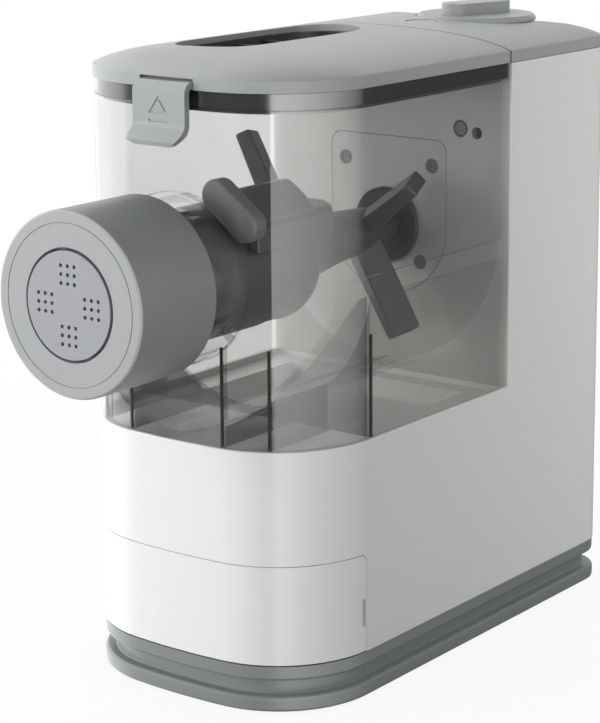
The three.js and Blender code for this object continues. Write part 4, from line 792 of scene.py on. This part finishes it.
combine(lid, slot_block("slot", 0, 250, 300))
combine(lid, box_between("latch_notch", at(-14.3, -5, 260), at(14.3, 4.6, 268.8)))
smooth(lid)
lid_plastic = moulded("satin_grey_plastic", tint(160, 163, 163), 0.4, 2400, 0.02)
finish_piece(lid, lid_plastic, "lid_body", "satin_grey", "lid")

grille_foot, grille_top, bar_spacing, half_bar = 264.7, 273.7, 19.7, 0.8
grille = slot_block("inlet_grille_frame", 0.3, grille_foot, grille_top)
combine(grille, slot_block("opening", 2.1, 260, 280))
for i in (-1, 0, 1):
    y = slot_y + i * bar_spacing
    bar = slot_block("bar", 1, grille_foot, grille_top)
    combine(bar, box_between("part", at(-60, y - half_bar, 260), at(60, y + half_bar, 271.9)), "INTERSECT")
    combine(grille, bar, "UNION")
smooth(grille)
finish_piece(grille, seal_rubber, "lid_body", "dark_seal", "inlet_grille")

band_foot, plug_foot, band_top, band_seam = 257.3, 255.5, 263.9, 289.3
band_outer, plug_outer, plug_inner, plug_back = 1.2, 3.3, 8.3, 154.2
band = swing_round_body("lid_seal_band", [
    (band_outer, band_foot), (band_outer, band_top), (plug_inner, band_top), (plug_inner, plug_foot),
    (plug_outer, plug_foot), (plug_outer, band_foot), (band_outer, band_foot)])
combine(band, behind_seam(band_seam))
rear = plan_block("rear", plug_outer, plug_foot, band_top, front=120, back=plug_back)
combine(rear, behind_seam(band_seam))
combine(rear, behind_seam(band_seam + 5), "INTERSECT")
combine(band, wide_block("behind", plug_back, 170, 240, band_foot))
combine(band, rear, "UNION")
combine(band, box_between("latch_notch", at(-16, -5, 257), at(16, 4.3, 270)))
smooth(band)
band_plastic = moulded("seal_band_plastic", tint(50, 52, 53), 0.16, 1200, 0.004)
band_plastic.node_tree.nodes["Principled BSDF"].inputs["IOR"].default_value = 2.1
finish_piece(band, band_plastic, "lid_body", "dark_seal", "lid_seal")

# Latch
# A bent grey clip that hangs from a steel pin in the lid's rim and hooks over the chamber.
# Its lower lip flares out for the finger, and a sunk triangle and bar show which way it opens.
half_clip, half_sheet, pin_y, pin_z = 14, 1.5, 2.4, 266
bent_line = [Vector(spot) for spot in (
    (pin_y, pin_z), (0.6, 266.1), (-1.1, 266), (-2.3, 265.2), (-3, 263.9), (-3.2, 262.2), (-3.2, 250.6),
    (-3.4, 249), (-4.1, 247.4), (-5.5, 245.9), (-9.5, 242.5))]
outer, inner = [], []
for before, spot, after in zip(bent_line[:1] + bent_line, bent_line, bent_line[1:] + bent_line[-1:]):
    way = (after - before).normalized()
    beside = Vector((-way.y, way.x)) * half_sheet
    outer.append(spot - beside)
    inner.append(spot + beside)
clip_outline = [at(-half_clip, y, z) for y, z in outer + inner[::-1]]
latch = drawn_out("lid_latch_clip", clip_outline, (2 * half_clip, 0, 0))
corners = box_between("corners", at(-half_clip, -20, 241.2), at(half_clip, 10, 280))
round_along(corners, 1, 6, 10, 250)
combine(latch, corners, "INTERSECT")
soften(latch, 0.35, 2, 50)
sign = outline_block("sign", [(-5.4, 254.2), (5.1, 254.2), (-0.1, 261.6)], -6, -4.2)
combine(sign, outline_block("inside", [(-3.5, 255.3), (3.2, 255.3), (-0.1, 259.9)], -7, -4))
combine(latch, sign)
combine(latch, box_between("bar", at(-5.4, -6, 250.7), at(5.2, -4.2, 251.8)))
combine(latch, rod_between("barrel", at(-half_clip, pin_y, pin_z), at(half_clip, pin_y, pin_z), 1.9), "UNION")
combine(latch, rod_between("bore", at(-30, pin_y, pin_z), at(30, pin_y, pin_z), 1.2, 24))
smooth(latch)
finish_piece(latch, lid_plastic, "latch_body", "satin_grey", "lid_latch")

# Fixed cover of the tower with the knob and the button
# The lid's fixed rear part, of the same satin grey plastic, over the circuit board. A round collar with a
# pill-shaped grip chooses the program, and a flush round button in front of it starts it.
knob_x, knob_y, button_x, button_y = 11.5, 213.5, 7.8, 173.1
well_floor = 275.5
cover = crowned_block("tower_cover_shell", 0, lid_foot, 0)
combine(cover, behind_seam(cover_seam), "INTERSECT")
hollow = crowned_block("hollow", 3, 250, 3)
combine(hollow, behind_seam(cover_seam - 2.6), "INTERSECT")
combine(cover, hollow)
nose = plan_block("nose", 1.2, 257.3, 264.5, front=140, back=157.2)
combine(nose, behind_seam(cover_seam), "INTERSECT")
combine(cover, nose, "UNION")
combine(cover, upright_rod("patch", knob_x, knob_y, 272.5, well_floor, 9), "UNION")
combine(cover, upright_rod("well", knob_x, knob_y, well_floor, 290, 29, 128))
combine(cover, upright_rod("bore", knob_x, knob_y, 250, 290, 3.5))
combine(cover, upright_rod("hole", button_x, button_y, 250, 290, 7.7, 64))
smooth(cover)
finish_piece(cover, lid_plastic, "machine", "satin_grey", "tower_cover")

collar = draw_line("control_knob_body", [at(knob_x + r, knob_y, z) for r, z in (
    (0, 275.9), (28.2, 275.9), (28.5, 276.3), (28.45, 277.2), (28.3, 277.5), (27.4, 278.5), (27.1, 278.75),
    (26.6, 278.85), (0, 278.85))])
bpy.ops.mesh.spin(steps=128, angle=2 * math.pi, center=at(knob_x, knob_y, 0), axis=(0, 0, 1))
tidy_mesh()
half_grip, half_grip_width, grip_turn = 19, 7.5, 75
grip = box_between("grip", at(knob_x - half_grip, knob_y - half_grip_width, 278.5),
                   at(knob_x + half_grip, knob_y + half_grip_width, 284.35))
round_along(grip, 2, 7.3, 14)
turn_about(grip, at(knob_x, knob_y, 0), "Z", grip_turn)
soften(grip, 0.4, 3, 60)
combine(collar, grip, "UNION")
combine(collar, upright_rod("stem", knob_x, knob_y, 261.5, 276.5, 3), "UNION")
smooth(collar)
finish_piece(collar, lid_plastic, "knob_body", "satin_grey", "control_knob")

button = upright_rod("start_button_cap", button_x, button_y, 274.35, 277.75, 7.4, 64)
soften(button, 0.5, 3, 60)
combine(button, upright_rod("stem", button_x, button_y, 266.4, 274.7, 2), "UNION")
smooth(button)
finish_piece(button, lid_plastic, "button_body", "satin_grey", "start_button")

# Floor, light and background
# A pale floor that turns to plain white a little way off, large soft lamps at the front left and above,
# and a tall panel at the right whose reflection stands in the chamber's rounded corner.
bpy.ops.object.select_all(action="DESELECT")
bpy.ops.mesh.primitive_circle_add(vertices=64, radius=6, fill_type="NGON", location=(0, 0, 0))
floor = bpy.context.object
floor.name = "floor"
floor.visible_glossy = False
floor_paint = bpy.data.materials.new("floor_paint")
floor_paint.use_nodes = True
floor.data.materials.append(floor_paint)
tree = floor_paint.node_tree
paint = tree.nodes["Principled BSDF"]
paint.inputs["Roughness"].default_value = 0.9
paint.inputs["Specular IOR Level"].default_value = 0
paths = tree.nodes.new("ShaderNodeLightPath")
shade = tree.nodes.new("ShaderNodeMapRange")
shade.inputs["To Min"].default_value = 0.5
shade.inputs["To Max"].default_value = 0.92
tree.links.new(paths.outputs["Is Camera Ray"], shade.inputs["Value"])
tree.links.new(shade.outputs["Result"], paint.inputs["Base Color"])
place = tree.nodes.new("ShaderNodeTexCoord")
reach = tree.nodes.new("ShaderNodeVectorMath")
reach.operation = "LENGTH"
tree.links.new(place.outputs["Object"], reach.inputs[0])
fade = tree.nodes.new("ShaderNodeMapRange")
fade.interpolation_type = "SMOOTHSTEP"
fade.inputs["From Min"].default_value = 0.2
fade.inputs["From Max"].default_value = 0.7
fade.inputs["To Min"].default_value = 0.9
fade.inputs["To Max"].default_value = 1
tree.links.new(reach.outputs["Value"], fade.inputs["Value"])
seen = tree.nodes.new("ShaderNodeMath")
seen.operation = "MULTIPLY"
tree.links.new(fade.outputs["Result"], seen.inputs[0])
tree.links.new(paths.outputs["Is Camera Ray"], seen.inputs[1])
white = tree.nodes.new("ShaderNodeEmission")
white.inputs["Strength"].default_value = 1
mixed = tree.nodes.new("ShaderNodeMixShader")
tree.links.new(seen.outputs["Value"], mixed.inputs["Fac"])
tree.links.new(paint.outputs[0], mixed.inputs[1])
tree.links.new(white.outputs[0], mixed.inputs[2])
tree.links.new(mixed.outputs[0], tree.nodes["Material Output"].inputs["Surface"])


def lamp(name, place, target, width, height, power):
    """A soft box: a rectangular lamp that faces its target and shows in no reflection."""
    bpy.ops.object.select_all(action="DESELECT")
    bpy.ops.object.light_add(type="AREA", location=place)
    light = bpy.context.object
    light.name = name
    light.data.shape = "RECTANGLE"
    light.data.size = width
    light.data.size_y = height
    light.data.energy = power
    light.rotation_euler = (Vector(target) - Vector(place)).to_track_quat("-Z", "Y").to_euler()
    light.visible_glossy = False
    light.visible_camera = False


lamp("key_box", (-1.0, -1.15, 0.55), (0, 0, 0.13), 0.9, 0.9, 12.5)
lamp("front_fill", (-0.1, -1.7, 0.3), (0, 0, 0.13), 0.9, 0.6, 11)
lamp("top_box", (-0.6, 0.3, 1.3), (0, 0, 0.1), 1.2, 1.2, 7)
lamp("side_rear", (0.42, 0.42, 0.3), (0.0675, 0.1, 0.15), 0.25, 0.5, 1.3)


brightest = 5


def panel(name, corners, radiances):
    """A lit card that only reflections see, fading from one upright edge to the other."""
    bpy.ops.object.select_all(action="DESELECT")
    bpy.ops.mesh.primitive_plane_add(size=1)
    card = bpy.context.object
    card.name = name
    for vertex, corner in zip(card.data.vertices, corners):
        vertex.co = corner
    card.visible_camera = card.visible_diffuse = card.visible_shadow = card.visible_transmission = False
    light = bpy.data.materials.new(name + "_light")
    light.use_nodes = True
    tree = light.node_tree
    tree.nodes.remove(tree.nodes["Principled BSDF"])
    glow = tree.nodes.new("ShaderNodeEmission")
    across_card = tree.nodes.new("ShaderNodeUVMap")
    split = tree.nodes.new("ShaderNodeSeparateXYZ")
    tree.links.new(across_card.outputs["UV"], split.inputs[0])
    ramp = tree.nodes.new("ShaderNodeFloatCurve")
    curve = ramp.mapping.curves[0]
    curve.points[0].location = (0, radiances[0] / brightest)
    curve.points[1].location = (1, radiances[-1] / brightest)
    for i, value in enumerate(radiances[1:-1], 1):
        curve.points.new(i / (len(radiances) - 1), value / brightest)
    tree.links.new(split.outputs["X"], ramp.inputs["Value"])
    strength = tree.nodes.new("ShaderNodeMath")
    strength.operation = "MULTIPLY"
    strength.inputs[1].default_value = brightest
    tree.links.new(ramp.outputs["Value"], strength.inputs[0])
    tree.links.new(strength.outputs["Value"], glow.inputs["Strength"])
    tree.links.new(glow.outputs[0], tree.nodes["Material Output"].inputs["Surface"])
    card.data.materials.append(light)


panel("right_panel", [(0.45, -0.776, -0.6), (0.45, 0.393, -0.6), (0.45, -0.776, 1.2), (0.45, 0.393, 1.2)],
      [3.6, 3.5, 2.8, 1.5, 0.4])
panel("left_panel", [(-0.7, 0.5, -0.6), (-0.7, -0.6, -0.6), (-0.7, 0.5, 1.2), (-0.7, -0.6, 1.2)],
      [1.8, 2.1, 2.1, 1.5])
panel("rear_panel", [(-1.6, 0.6, 0.2), (0.6, 1.6, 0.2), (-1.6, 0.6, 1.6), (0.6, 1.6, 1.6)],
      [1.2, 1.3, 1.1, 0.7, 0.5])

world = bpy.data.worlds.new("studio")
bpy.context.scene.world = world
world.use_nodes = True
sky = world.node_tree.nodes["Background"]
sky.inputs["Color"].default_value = (1, 1, 1, 1)
tree = world.node_tree
paths = tree.nodes.new("ShaderNodeLightPath")
to_camera = tree.nodes.new("ShaderNodeMapRange")
to_camera.inputs["To Min"].default_value = 0.32
to_camera.inputs["To Max"].default_value = 1
tree.links.new(paths.outputs["Is Camera Ray"], to_camera.inputs["Value"])
in_gloss = tree.nodes.new("ShaderNodeMapRange")
in_gloss.inputs["To Min"].default_value = 1
in_gloss.inputs["To Max"].default_value = 0.3
tree.links.new(paths.outputs["Is Glossy Ray"], in_gloss.inputs["Value"])
strength = tree.nodes.new("ShaderNodeMath")
strength.operation = "MULTIPLY"
tree.links.new(to_camera.outputs["Result"], strength.inputs[0])
tree.links.new(in_gloss.outputs["Result"], strength.inputs[1])
tree.links.new(strength.outputs["Value"], sky.inputs["Strength"])
bpy.context.scene.view_settings.view_transform = "Standard"
bpy.context.scene.cycles.transparent_max_bounces = 32
